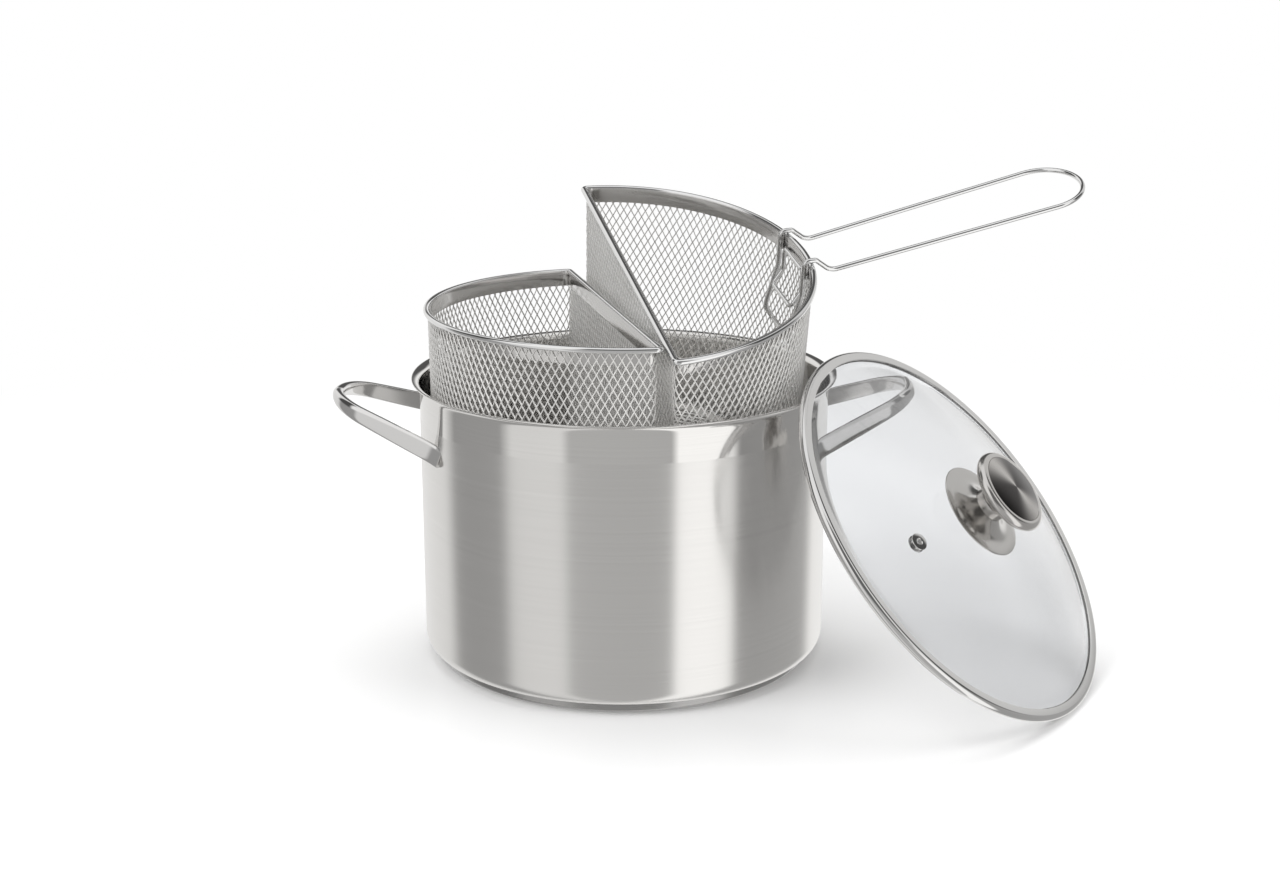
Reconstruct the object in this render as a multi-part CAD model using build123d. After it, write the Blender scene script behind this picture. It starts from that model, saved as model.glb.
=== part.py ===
from build123d import *
import os
from math import acos, asin, atan2, cos, degrees, hypot, pi, radians, sin, sqrt, tan

# Pasta pot with two half round strainer baskets, a lift-off wire handle and a glass lid.
# Millimetres, +Z up, origin at the centre of the pot's underside on the floor.
# The front of the pot looks along -Y.

# Pot
POT_RADIUS = 120.0              # outside of the wall
POT_HEIGHT = 168.0
POT_WALL = 0.8
POT_CORNER_RADIUS = 8.0         # bend between floor and wall
LIP_BEND_RADIUS = 3.8           # pouring lip, bent outwards
LIP_EDGE = 0.4                  # straight end of the lip, before its rounded edge
BASE_HEIGHT = 5.0               # capsule base under the pot's floor
BASE_CAP_HEIGHT = 4.2           # the rest is an open seam
BASE_CAP_WALL = 0.5
BASE_CAP_EDGE_RADIUS = 1.5

# Side handles: a polished loop that rises away from its two welds
WELD_HALF_SPACING = 51.5
WELD_HEIGHT = 126.0
LOOP_REACH = 62.0               # from the weld line to the tip, along the slope
LOOP_RISE_ANGLE = 20.0
LOOP_RADIUS = 41.0
TIP_DIAMETER = 7.0
STRAP_THICKNESS = 3.8
STRAP_HEIGHT = 10.0
HANDLE_TURN = 6.6               # the pair stands a little askew to the viewer
FLARE_ROUND_SHARE = 0.5         # how far the strap has become round where the loop starts

# Baskets, in their own frame: Z up, origin in the rim plane on the arc's axis
RIM_RADIUS = 112.0              # centre line of the rim wire
FLAT_OFFSET = 4.8               # flat side's wire, from the arc's axis
RIM_WIRE_DIAMETER = 3.4
BAND_THICKNESS = 0.8
BAND_HEIGHT = 9.5
BAND_RISE = 1.0                 # band's top edge above the wire's centre line
MESH_THICKNESS = 0.8
BASKET_DEPTH = 142.0
BASKET_TAPER_ANGLE = 0.8
BASKET_CORNER_RADIUS = 8.0

# Openings of the expanded metal, in rows of diamonds
STRAND = 2.6
ARC_COLUMNS = 14
ARC_ROWS = 7
FLAT_COLUMNS = 8
FLOOR_COLUMNS = 8
FLOOR_ROWS = 6
MESH_MARGIN = 3.0               # plain strip left beside every edge
CUT_OVERRUN = 4.0

# Handle bracket, a wire frame welded inside each basket
BRACKET_WIRE_DIAMETER = 2.6
BRACKET_WIDTH = 31.0
BRACKET_TOP_DROP = 5.0
BRACKET_LEG = 14.0
BRACKET_BOTTOM_DROP = 28.0
BRACKET_KINK = 6.0
BRACKET_BEND_RADIUS = 3.0
BRACKET_ANGLE = 2.0             # off the middle of the arc

# Wire handle, hooked over the rim and under the bracket
HANDLE_WIRE_DIAMETER = 3.0
HOOK_SPACING = 41.0
HANDLE_END_WIDTH = 50.0
HANDLE_REACH = 160.0            # from the rim to the start of the rounded end
HANDLE_RISE_ANGLE = 12.0
HOOK_HUMP = 2.6                 # how far the hump runs past the rim wire
HOOK_DIP = 12.0                 # from the rim wire to the dip outside
HOOK_DIP_DROP = 3.8
HOOK_LEG = 17.5
HOOK_KNEE_DROP = 45.0
HOOK_KNEE_INSET = 6.7
HOOK_RETURN = 5.0
HOOK_BAR_DROP = 53.0
HOOK_BEND_RADIUS = 3.0
HANDLE_BEND_RADIUS = 9.0
GRIP_ROUND_SHARE = 0.97         # of half the end's width
UNHOOK_ANGLE = 38.0             # way out of the bracket, inwards from straight up

# Where the baskets stand in the photograph
BASKET_TURN = 14.4              # direction of the right basket's arc
RIGHT_TILT_BACK = 16.1
RIGHT_TILT_SIDE = 1.7
RIGHT_SIDE_SHIFT = -5.6
LEFT_RAISE = 41.3               # rim above the pot's lip
LEFT_TILT_BACK = 0.4
LEFT_TILT_SIDE = 0.4
LEFT_CONTACT_TURN = 255.0       # where its round wall meets the pot's mouth

# Lid, in its own frame: Z away from the pot, origin in the middle of the rim bead
LID_RADIUS = 120.2
GLASS_THICKNESS = 4.0
GLASS_BRIM = 7.6
GLASS_RISE = 20.0
CREASE_RADIUS = 15.0
LID_BAND_SHEET = 0.6
LID_FLANGE = 4.0
LID_SKIRT_INSET = 0.8
LID_SKIRT_DROP = 1.6
LID_LEAN_ANGLE = 40.7           # of the lid's axis above the floor
LID_LEAN_TURN = -31.2           # where the lid's axis points
LID_SIDE_SHIFT = 40.2
VENT_RADIUS = 67.5              # of the vent from the lid's centre
VENT_TURN = 175.7
VENT_BORE = 3.6
VENT_SHANK_DIAMETER = 6.6
VENT_FLANGE_DIAMETER = 10.0
VENT_FLANGE_THICKNESS = 0.7
KNOB_BASE_DIAMETER = 57.0
KNOB_BASE_HEIGHT = 5.0
KNOB_BASE_SHEET = 0.8
KNOB_DISH_SHARE = 0.6           # height of the plate's dish half way out
KNOB_STEM_DIAMETER = 20.0
KNOB_STEM_HEIGHT = 12.0
KNOB_GROOVE_WIDTH = 2.4
KNOB_GROOVE_DEPTH = 1.2
KNOB_CAP_DIAMETER = 50.0
KNOB_CAP_HEIGHT = 8.0
KNOB_CAP_EDGE = 1.6
KNOB_RECESS_DEPTH = 1.4
KNOB_RING_WIDTH = 3.0
INLAY_CROWN = 0.9
SCREW_DIAMETER = 5.0
SCREW_HEAD_DIAMETER = 10.0
SCREW_HEAD_HEIGHT = 3.0
SCREW_LENGTH = 14.0
WASHER_DIAMETER = 18.0
WASHER_THICKNESS = 1.2

# Running gaps between pieces that come apart
SEAT_GAP = 0.35                 # basket against pot, lid against pot and floor
HOOK_GAP = 0.3                  # wire handle against basket

# Worked out from the sizes above
BASE_RADIUS = POT_RADIUS - POT_CORNER_RADIUS
POT_INNER_RADIUS = POT_RADIUS - POT_WALL
LIP_RADIUS = POT_RADIUS + LIP_BEND_RADIUS + LIP_EDGE + POT_WALL / 2
BEND_HEIGHT = POT_HEIGHT - POT_WALL - LIP_BEND_RADIUS
RIM_WIRE_RADIUS = RIM_WIRE_DIAMETER / 2
MESH_INSET = RIM_WIRE_RADIUS - MESH_THICKNESS
BAND_INNER_RADIUS = RIM_RADIUS - RIM_WIRE_RADIUS - BAND_THICKNESS
TAPER = tan(radians(BASKET_TAPER_ANGLE))
BEAD_RADIUS = GLASS_THICKNESS / 2 + LID_BAND_SHEET
GLASS_RADIUS = LID_RADIUS - BEAD_RADIUS
CREASE = GLASS_RADIUS - GLASS_BRIM
DOME_RADIUS = (CREASE ** 2 + GLASS_RISE ** 2) / (2 * GLASS_RISE)
GLASS_TOP = GLASS_RISE + GLASS_THICKNESS / 2


def turned(*edges):
    """Body of revolution about Z from edges drawn in the (radius, height) plane."""
    return revolve(Plane.XZ * make_face(Wire(edges)), Axis.Z)


def bend(centre, radius, start, sweep):
    """Arc in the (radius, height) plane, angles in degrees from the outward direction."""
    return CenterArc(centre, radius, start, sweep)


# Pot

def pot_body():
    """Drawn steel vessel: floor, wall and pouring lip of one sheet."""
    corner = POT_CORNER_RADIUS
    corner_centre = (BASE_RADIUS, BASE_HEIGHT + corner)
    bend_centre = (POT_RADIUS + LIP_BEND_RADIUS, BEND_HEIGHT)
    edge_start = LIP_RADIUS - POT_WALL / 2
    edge_middle = POT_HEIGHT - POT_WALL / 2
    underside = POT_HEIGHT - POT_WALL
    floor_top = BASE_HEIGHT + POT_WALL
    return turned(
        Line((0, BASE_HEIGHT), (BASE_RADIUS, BASE_HEIGHT)),
        bend(corner_centre, corner, -90, 90),
        Line((POT_RADIUS, BASE_HEIGHT + corner), (POT_RADIUS, BEND_HEIGHT)),
        bend(bend_centre, LIP_BEND_RADIUS, 180, -90),
        Line((POT_RADIUS + LIP_BEND_RADIUS, underside), (edge_start, underside)),
        ThreePointArc((edge_start, underside), (LIP_RADIUS, edge_middle), (edge_start, POT_HEIGHT)),
        Line((edge_start, POT_HEIGHT), (POT_RADIUS + LIP_BEND_RADIUS, POT_HEIGHT)),
        bend(bend_centre, LIP_BEND_RADIUS + POT_WALL, 90, 90),
        Line((POT_INNER_RADIUS, BEND_HEIGHT), (POT_INNER_RADIUS, BASE_HEIGHT + corner)),
        bend(corner_centre, corner - POT_WALL, 0, -90),
        Line((BASE_RADIUS, floor_top), (0, floor_top)),
        Line((0, floor_top), (0, BASE_HEIGHT)),
    )


def base_core():
    """Aluminium disc that spreads the heat, between the pot's floor and its steel cap."""
    height = BASE_HEIGHT - BASE_CAP_WALL
    disc = Cylinder(BASE_RADIUS - BASE_CAP_WALL, height, align=(Align.CENTER, Align.CENTER, Align.MIN))
    return Pos(0, 0, BASE_CAP_WALL) * disc


def base_cap():
    """Steel cap pressed over the core; its edge stops short of the pot and leaves a seam."""
    edge = BASE_CAP_EDGE_RADIUS
    inner = BASE_RADIUS - BASE_CAP_WALL
    return turned(
        Line((0, 0), (BASE_RADIUS - edge, 0)),
        bend((BASE_RADIUS - edge, edge), edge, -90, 90),
        Line((BASE_RADIUS, edge), (BASE_RADIUS, BASE_CAP_HEIGHT)),
        Line((BASE_RADIUS, BASE_CAP_HEIGHT), (inner, BASE_CAP_HEIGHT)),
        Line((inner, BASE_CAP_HEIGHT), (inner, BASE_CAP_WALL)),
        Line((inner, BASE_CAP_WALL), (0, BASE_CAP_WALL)),
        Line((0, BASE_CAP_WALL), (0, 0)),
    )


def side_handle(turn):
    """Loop from weld to weld: flat straps that round off into a round tip, cut to the pot's wall."""
    weld_line = sqrt(POT_RADIUS ** 2 - WELD_HALF_SPACING ** 2)
    centre = LOOP_REACH - TIP_DIAMETER / 2 - LOOP_RADIUS
    widening = WELD_HALF_SPACING - LOOP_RADIUS
    flare_radius = (centre ** 2 + widening ** 2) / (2 * widening)
    flare_angle = asin(centre / flare_radius)
    slope = radians(LOOP_RISE_ANGLE)
    sunk = STRAP_HEIGHT / flare_radius
    first_angle = flare_angle + sunk
    quarter_steps = 5
    flare_steps = 4
    places = []
    for step in range(flare_steps):
        angle = first_angle * (1 - step / flare_steps)
        x = centre - flare_radius * sin(angle)
        y = LOOP_RADIUS + flare_radius * (1 - cos(angle))
        roundness = FLARE_ROUND_SHARE * step / flare_steps
        places.append((x, y, (cos(angle), -sin(angle)), roundness))
    for step in range(quarter_steps + 1):
        angle = pi / 2 * (1 - step / quarter_steps)
        roundness = FLARE_ROUND_SHARE + (1 - FLARE_ROUND_SHARE) * step / quarter_steps
        x = centre + LOOP_RADIUS * cos(angle)
        y = LOOP_RADIUS * sin(angle)
        places.append((x, y, (sin(angle), -cos(angle)), roundness))
    for x, y, ahead, roundness in places[-2::-1]:
        places.append((x, -y, (-ahead[0], ahead[1]), roundness))
    sections = []
    for x, y, ahead, roundness in places:
        thickness = STRAP_THICKNESS + (TIP_DIAMETER - STRAP_THICKNESS) * roundness
        height = STRAP_HEIGHT + (TIP_DIAMETER - STRAP_HEIGHT) * roundness
        across = (-ahead[1], ahead[0], 0)
        plane = Plane(origin=(x, y, 0), x_dir=across, z_dir=(ahead[0], ahead[1], 0))
        sections.append(plane * Ellipse(thickness / 2, height / 2))
    loop = loft(sections)
    uphill = (cos(slope), 0, sin(slope))
    upright = (-sin(slope), 0, cos(slope))
    tilted = Plane(origin=(weld_line, 0, WELD_HEIGHT), x_dir=uphill, z_dir=upright)
    wall = Cylinder(POT_RADIUS, POT_HEIGHT + BASE_HEIGHT, align=(Align.CENTER, Align.CENTER, Align.MIN))
    return Rot(Z=turn) * (tilted * loop - wall)


# Baskets

def half_round(inset, top, bottom, corner):
    """Solid half round that follows the basket's walls, drawn in by inset from the rim wire."""
    def drawn_in(z):
        return inset - z * TAPER
    radius_top = RIM_RADIUS - drawn_in(top)
    radius_bottom = RIM_RADIUS - drawn_in(bottom)
    flat_top = FLAT_OFFSET + drawn_in(top)
    flat_bottom = FLAT_OFFSET + drawn_in(bottom)
    cone = turned(
        Line((0, top), (radius_top, top)),
        Line((radius_top, top), (radius_bottom, bottom)),
        Line((radius_bottom, bottom), (0, bottom)),
        Line((0, bottom), (0, top)),
    )
    side = Polyline((flat_top, top), (RIM_RADIUS, top), (RIM_RADIUS, bottom), (flat_bottom, bottom), close=True)
    half = extrude(Plane.XZ * make_face(side), RIM_RADIUS, both=True)
    body = cone & half
    if corner:
        edges = body.edges().group_by(Axis.Z)[0]
        body = fillet(edges, corner)
    return body


def mesh_shell():
    """Thin shell of the basket from under the rim wire down to its dished floor."""
    top = -RIM_WIRE_RADIUS
    outside = half_round(MESH_INSET, top, -BASKET_DEPTH, BASKET_CORNER_RADIUS)
    inside = half_round(MESH_INSET + MESH_THICKNESS, top, MESH_THICKNESS - BASKET_DEPTH,
                        BASKET_CORNER_RADIUS - MESH_THICKNESS)
    return outside - inside


def slab(low, high):
    """Block that holds everything between two heights."""
    size = 3 * RIM_RADIUS
    return Pos(0, 0, low) * Box(size, size, high - low, align=(Align.CENTER, Align.CENTER, Align.MIN))


def diamond(width, height, length):
    """Diamond prism along X that starts in the YZ plane."""
    outline = Polyline((width / 2, 0), (0, height / 2), (-width / 2, 0), (0, -height / 2), close=True)
    face = Plane(origin=(0, 0, 0), x_dir=(0, 1, 0), z_dir=(1, 0, 0)) * make_face(outline)
    return extrude(face, length)


def staggered(columns, rows):
    """Places of a diamond net as shares of its width and height, every other row half a pitch on."""
    shares = []
    for row in range(rows):
        odd = row % 2
        for column in range(columns - odd):
            shares.append(((column + (1 + odd) / 2) / columns, (row + 1) / (rows + 1)))
    return shares


WALL_NET_TOP = -(BAND_HEIGHT - BAND_RISE) - MESH_MARGIN
WALL_NET_BOTTOM = -(BASKET_DEPTH - BASKET_CORNER_RADIUS)
ROW_PITCH = (WALL_NET_TOP - WALL_NET_BOTTOM) / (ARC_ROWS + 1)


def arc_wall(shell):
    """Round wall of expanded metal, with its diamonds cut square to the arc."""
    half_angle = degrees(acos((FLAT_OFFSET + MESH_INSET + MESH_THICKNESS) / RIM_RADIUS)) - degrees(
        (MESH_MARGIN + TAPER * BASKET_DEPTH) / RIM_RADIUS)
    pitch = 2 * half_angle / ARC_COLUMNS
    width = radians(pitch) * RIM_RADIUS - STRAND
    height = 2 * ROW_PITCH - STRAND
    reach = RIM_RADIUS - BASKET_DEPTH * TAPER - CUT_OVERRUN
    cutter = diamond(width, height, RIM_RADIUS - reach)
    cutters = []
    for along, down in staggered(ARC_COLUMNS, ARC_ROWS):
        turn = half_angle * (2 * along - 1)
        z = WALL_NET_TOP + (WALL_NET_BOTTOM - WALL_NET_TOP) * down
        cutters.append(Rot(Z=turn) * Pos(reach, 0, z) * cutter)
    return shell - cutters


def flat_wall(shell):
    """Flat wall of expanded metal, with its diamonds cut straight through."""
    half_width = RIM_RADIUS - MESH_INSET - MESH_THICKNESS - TAPER * BASKET_DEPTH - MESH_MARGIN
    width = 2 * half_width / FLAT_COLUMNS - STRAND
    height = 2 * ROW_PITCH - STRAND
    start = FLAT_OFFSET - CUT_OVERRUN
    cutter = diamond(width, height, 2 * CUT_OVERRUN + MESH_THICKNESS + BASKET_DEPTH * TAPER)
    cutters = []
    for along, down in staggered(FLAT_COLUMNS, ARC_ROWS):
        z = WALL_NET_TOP + (WALL_NET_BOTTOM - WALL_NET_TOP) * down
        cutters.append(Pos(start, half_width * (2 * along - 1), z) * cutter)
    return shell - cutters


def floor_mesh(shell):
    """Dished floor of expanded metal; diamonds stay inside the flat part."""
    inset = MESH_INSET + BASKET_DEPTH * TAPER + BASKET_CORNER_RADIUS + MESH_MARGIN
    radius = RIM_RADIUS - inset
    near = FLAT_OFFSET + inset
    pitch_y = 2 * radius / FLOOR_COLUMNS
    pitch_x = (radius - near) / FLOOR_ROWS
    cutter = Rot(Y=-90) * diamond(pitch_y - STRAND, 2 * pitch_x - STRAND, 2 * CUT_OVERRUN)
    cutters = []
    for along, out in staggered(FLOOR_COLUMNS, FLOOR_ROWS):
        x = near + (radius - near) * out
        y = radius * (2 * along - 1)
        if hypot(x + pitch_x, abs(y)) < radius and hypot(x, abs(y) + pitch_y / 2) < radius:
            cutters.append(Pos(x, y, -BASKET_DEPTH - CUT_OVERRUN) * cutter)
    return shell - cutters


def rim_arc():
    """Round part of the rim wire, its two ends cut square past the flat side."""
    past = FLAT_OFFSET - RIM_WIRE_RADIUS
    half_angle = degrees(acos(past / RIM_RADIUS))
    path = CenterArc((0, 0, 0), RIM_RADIUS, -half_angle, 2 * half_angle)
    return sweep(Plane(origin=path @ 0, z_dir=path % 0) * Circle(RIM_WIRE_RADIUS), path)


def rim_bar(arc):
    """Straight part of the rim wire, butt welded between the ends of the round part."""
    bar = Cylinder(RIM_WIRE_RADIUS, 2 * RIM_RADIUS - RIM_WIRE_DIAMETER)
    bar = Pos(FLAT_OFFSET, 0, 0) * Rot(X=90) * bar
    return bar - arc


def rim_band():
    """Steel band just inside the rim wire that binds the mesh's top edge."""
    low = BAND_RISE - BAND_HEIGHT
    outside = half_round(RIM_WIRE_RADIUS, BAND_RISE, low, 0)
    inside = half_round(RIM_WIRE_RADIUS + BAND_THICKNESS, BAND_RISE, low, 0)
    return outside - inside


def bracket():
    """Wire frame welded inside the arc that keeps the handle's bar down."""
    radius = BRACKET_WIRE_DIAMETER / 2
    half = BRACKET_WIDTH / 2
    x = sqrt(BAND_INNER_RADIUS ** 2 - half ** 2) - radius - (BAND_HEIGHT - BAND_RISE) * TAPER
    kink_drop = BRACKET_TOP_DROP + BRACKET_LEG
    corner = BRACKET_BEND_RADIUS
    middle = (x, 0, -BRACKET_TOP_DROP)
    end = (x - BRACKET_KINK, 0, -BRACKET_BOTTOM_DROP)
    path = FilletPolyline(
        middle,
        (x, half, -BRACKET_TOP_DROP),
        (x, half, -kink_drop),
        (x - BRACKET_KINK, half, -BRACKET_BOTTOM_DROP),
        end,
        radius=corner,
    )
    one = sweep(Plane(origin=middle, z_dir=(0, 1, 0)) * Circle(radius), path)
    return Rot(Z=BRACKET_ANGLE) * (one + mirror(one, Plane.XZ))


def wire_handle():
    """Long bent wire: bar under the bracket, legs up and over the rim, and a rounded grip end."""
    radius = HANDLE_WIRE_DIAMETER / 2
    half = HOOK_SPACING / 2
    rise = radians(HANDLE_RISE_ANGLE)
    rim_x = sqrt(RIM_RADIUS ** 2 - half ** 2)
    leg_x = sqrt(BAND_INNER_RADIUS ** 2 - half ** 2) - radius - HOOK_GAP - (BAND_HEIGHT - BAND_RISE) * TAPER
    top = RIM_WIRE_RADIUS + radius + HOOK_GAP
    dip_x = rim_x + HOOK_DIP
    end_half = HANDLE_END_WIDTH / 2
    straight = HANDLE_REACH - HOOK_DIP + end_half
    end_x = dip_x + straight * cos(rise)
    end_z = -HOOK_DIP_DROP + straight * sin(rise)
    spread = (end_half - half) * HOOK_DIP / HANDLE_REACH
    knee_x = leg_x - HOOK_KNEE_INSET
    small = HOOK_BEND_RADIUS
    large = HANDLE_BEND_RADIUS
    start = (knee_x + HOOK_RETURN, 0, -HOOK_BAR_DROP)
    finish = (end_x, 0, end_z)
    path = FilletPolyline(
        start,
        (knee_x + HOOK_RETURN, half, -HOOK_BAR_DROP),
        (knee_x, half, -HOOK_KNEE_DROP),
        (leg_x, half, -HOOK_LEG),
        (leg_x, half, top),
        (rim_x + HOOK_HUMP, half, top),
        (dip_x, half + spread, -HOOK_DIP_DROP),
        (end_x, end_half, end_z),
        finish,
        radius=[small, large, large, small + HOOK_GAP, small, large, end_half * GRIP_ROUND_SHARE],
    )
    one = sweep(Plane(origin=start, z_dir=(0, 1, 0)) * Circle(radius), path)
    return Rot(Z=BRACKET_ANGLE) * (one + mirror(one, Plane.XZ))


# Lid

def lid_glass():
    """Domed pane with a flat brim, bored for the knob's screw and the vent."""
    half = GLASS_THICKNESS / 2
    centre = (0, GLASS_RISE - DOME_RADIUS)
    slope = degrees(asin(CREASE / DOME_RADIUS))
    top = CenterArc(centre, DOME_RADIUS + half, 90, -slope)
    low = CenterArc(centre, DOME_RADIUS - half, 90, -slope)
    section = make_face(Wire([
        top,
        Line(top @ 1, (GLASS_RADIUS, half)),
        CenterArc((GLASS_RADIUS, 0), half, 90, -180),
        Line((GLASS_RADIUS, -half), low @ 1),
        low,
        Line(low @ 0, top @ 0),
    ]))
    creases = [v for v in section.vertices() if abs(v.X - (top @ 1).X) < half or abs(v.X - (low @ 1).X) < half]
    section = fillet([v for v in creases if v.X < GLASS_RADIUS - half], CREASE_RADIUS)
    pane = revolve(Plane.XZ * section, Axis.Z)
    bore_length = GLASS_THICKNESS + 2 * CUT_OVERRUN
    screw_hole = Pos(0, 0, GLASS_RISE) * Cylinder(SCREW_DIAMETER / 2, bore_length)
    vent_hole = vent_place() * Cylinder(VENT_SHANK_DIAMETER / 2, bore_length)
    return pane - screw_hole - vent_hole


def vent_place():
    """Plane on the dome's middle surface at the vent, square to the glass."""
    lean = asin(VENT_RADIUS / DOME_RADIUS)
    turn = radians(VENT_TURN)
    z = GLASS_RISE - DOME_RADIUS * (1 - cos(lean))
    outward = (cos(turn), sin(turn), 0)
    origin = (VENT_RADIUS * outward[0], VENT_RADIUS * outward[1], z)
    normal = (sin(lean) * outward[0], sin(lean) * outward[1], cos(lean))
    return Plane(origin=origin, z_dir=normal)


def vent_eyelet():
    """Flanged steel tube riveted through the glass."""
    half = GLASS_THICKNESS / 2
    radius = VENT_FLANGE_DIAMETER / 2
    hollow = DOME_RADIUS - half
    sag = hollow - sqrt(hollow ** 2 - radius ** 2)
    end = half + VENT_FLANGE_THICKNESS
    flange = Cylinder(radius, VENT_FLANGE_THICKNESS)
    upper = Pos(0, 0, end - VENT_FLANGE_THICKNESS / 2) * flange
    lower = Pos(0, 0, VENT_FLANGE_THICKNESS / 2 - end - sag) * flange
    shank = Pos(0, 0, -sag / 2) * Cylinder(VENT_SHANK_DIAMETER / 2, 2 * end + sag)
    return vent_place() * (shank + upper + lower - Cylinder(VENT_BORE / 2, 2 * (end + CUT_OVERRUN)))


def lid_rim():
    """Rolled steel band round the glass, with a locating skirt that drops inside the pot."""
    half = GLASS_THICKNESS / 2
    sheet = LID_BAND_SHEET
    inner_edge = GLASS_RADIUS - LID_FLANGE
    skirt = GLASS_RADIUS - LID_SKIRT_INSET
    skirt_low = -half - sheet - LID_SKIRT_DROP
    return turned(
        Line((inner_edge, half), (GLASS_RADIUS, half)),
        bend((GLASS_RADIUS, 0), half, 90, -180),
        Line((GLASS_RADIUS, -half), (inner_edge, -half)),
        Line((inner_edge, -half), (inner_edge, -half - sheet)),
        Line((inner_edge, -half - sheet), (skirt - sheet, -half - sheet)),
        Line((skirt - sheet, -half - sheet), (skirt - sheet, skirt_low)),
        Line((skirt - sheet, skirt_low), (skirt, skirt_low)),
        Line((skirt, skirt_low), (skirt, -half - sheet)),
        Line((skirt, -half - sheet), (GLASS_RADIUS, -half - sheet)),
        bend((GLASS_RADIUS, 0), half + sheet, -90, 180),
        Line((GLASS_RADIUS, half + sheet), (inner_edge, half + sheet)),
        Line((inner_edge, half + sheet), (inner_edge, half)),
    )


def glass_top_at(radius):
    """Height of the dome's upper face at a radius."""
    outer = DOME_RADIUS + GLASS_THICKNESS / 2
    return GLASS_RISE - DOME_RADIUS + sqrt(outer ** 2 - radius ** 2)


def glass_underside_at(radius):
    """Height of the dome's lower face at a radius."""
    inner = DOME_RADIUS - GLASS_THICKNESS / 2
    return GLASS_RISE - DOME_RADIUS + sqrt(inner ** 2 - radius ** 2)


SCREW_SEAT = glass_underside_at(WASHER_DIAMETER / 2) - WASHER_THICKNESS
STEM_FOOT = GLASS_TOP + KNOB_BASE_HEIGHT
STEM_TOP = STEM_FOOT + KNOB_STEM_HEIGHT
CAP_TOP = STEM_TOP + KNOB_CAP_HEIGHT


def knob_base():
    """Dished steel plate under the knob, its edge on the glass."""
    edge = KNOB_BASE_DIAMETER / 2
    stem = KNOB_STEM_DIAMETER / 2
    bore = SCREW_DIAMETER / 2
    sheet = KNOB_BASE_SHEET
    foot = glass_top_at(edge - sheet)
    middle = (edge + stem) / 2
    middle_top = foot + KNOB_DISH_SHARE * (STEM_FOOT - foot)
    return turned(
        Line((bore, STEM_FOOT), (stem, STEM_FOOT)),
        ThreePointArc((stem, STEM_FOOT), (middle, middle_top), (edge, foot + sheet / 2)),
        Line((edge, foot + sheet / 2), (edge, foot)),
        Line((edge, foot), (edge - sheet, foot)),
        ThreePointArc((edge - sheet, foot), (middle, middle_top - sheet), (stem, STEM_FOOT - sheet)),
        Line((stem, STEM_FOOT - sheet), (bore, STEM_FOOT - sheet)),
        Line((bore, STEM_FOOT - sheet), (bore, STEM_FOOT)),
    )


def knob_stem():
    """Steel stem with a turned groove and a blind hole for the screw."""
    radius = KNOB_STEM_DIAMETER / 2
    stem = Cylinder(radius, KNOB_STEM_HEIGHT, align=(Align.CENTER, Align.CENTER, Align.MIN))
    ring = Cylinder(radius, KNOB_GROOVE_WIDTH) - Cylinder(radius - KNOB_GROOVE_DEPTH, KNOB_GROOVE_WIDTH)
    bore = screw_solid(0)
    return Pos(0, 0, STEM_FOOT) * (stem - Pos(0, 0, KNOB_STEM_HEIGHT / 2) * ring) - bore


def knob_cap():
    """Mushroom cap: a cone under it, a rounded edge ring and a recess for the inlay."""
    edge = KNOB_CAP_DIAMETER / 2
    stem = KNOB_STEM_DIAMETER / 2
    ring = KNOB_CAP_EDGE
    recess = edge - KNOB_RING_WIDTH
    recess_floor = CAP_TOP - KNOB_RECESS_DEPTH
    return turned(
        Line((0, STEM_TOP), (stem, STEM_TOP)),
        Line((stem, STEM_TOP), (edge - ring, CAP_TOP - 2 * ring)),
        ThreePointArc((edge - ring, CAP_TOP - 2 * ring), (edge, CAP_TOP - ring), (edge - ring, CAP_TOP)),
        Line((edge - ring, CAP_TOP), (recess, CAP_TOP)),
        Line((recess, CAP_TOP), (recess, recess_floor)),
        Line((recess, recess_floor), (0, recess_floor)),
        Line((0, recess_floor), (0, STEM_TOP)),
    )


def knob_inlay():
    """Dark crowned disc in the cap's recess."""
    radius = KNOB_CAP_DIAMETER / 2 - KNOB_RING_WIDTH
    floor = CAP_TOP - KNOB_RECESS_DEPTH
    crown = (radius ** 2 + INLAY_CROWN ** 2) / (2 * INLAY_CROWN)
    half_angle = degrees(asin(radius / crown))
    arc = CenterArc((0, CAP_TOP + INLAY_CROWN - crown), crown, 90, -half_angle)
    return turned(
        arc,
        Line(arc @ 1, (radius, floor)),
        Line((radius, floor), (0, floor)),
        Line((0, floor), arc @ 0),
    )


def screw_solid(head):
    """Shank from under the glass up into the stem, with a head of the given height."""
    shank = Cylinder(SCREW_DIAMETER / 2, SCREW_LENGTH + WASHER_THICKNESS,
                     align=(Align.CENTER, Align.CENTER, Align.MIN))
    body = Pos(0, 0, SCREW_SEAT) * shank
    if head:
        cap = Cylinder(SCREW_HEAD_DIAMETER / 2, head, align=(Align.CENTER, Align.CENTER, Align.MAX))
        body += Pos(0, 0, SCREW_SEAT) * cap
    return body


def knob_screw():
    """Pan head screw that clamps the knob to the glass from below."""
    screw = screw_solid(SCREW_HEAD_HEIGHT)
    head_edge = screw.edges().filter_by(GeomType.CIRCLE).sort_by(Axis.Z)[0]
    return fillet([head_edge], SCREW_HEAD_HEIGHT / 3)


def knob_washer():
    """Washer between the screw's head and the glass."""
    washer = Cylinder(WASHER_DIAMETER / 2, WASHER_THICKNESS) - Cylinder(SCREW_DIAMETER / 2, WASHER_THICKNESS)
    return Pos(0, 0, SCREW_SEAT + WASHER_THICKNESS / 2) * washer


# Places

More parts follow.
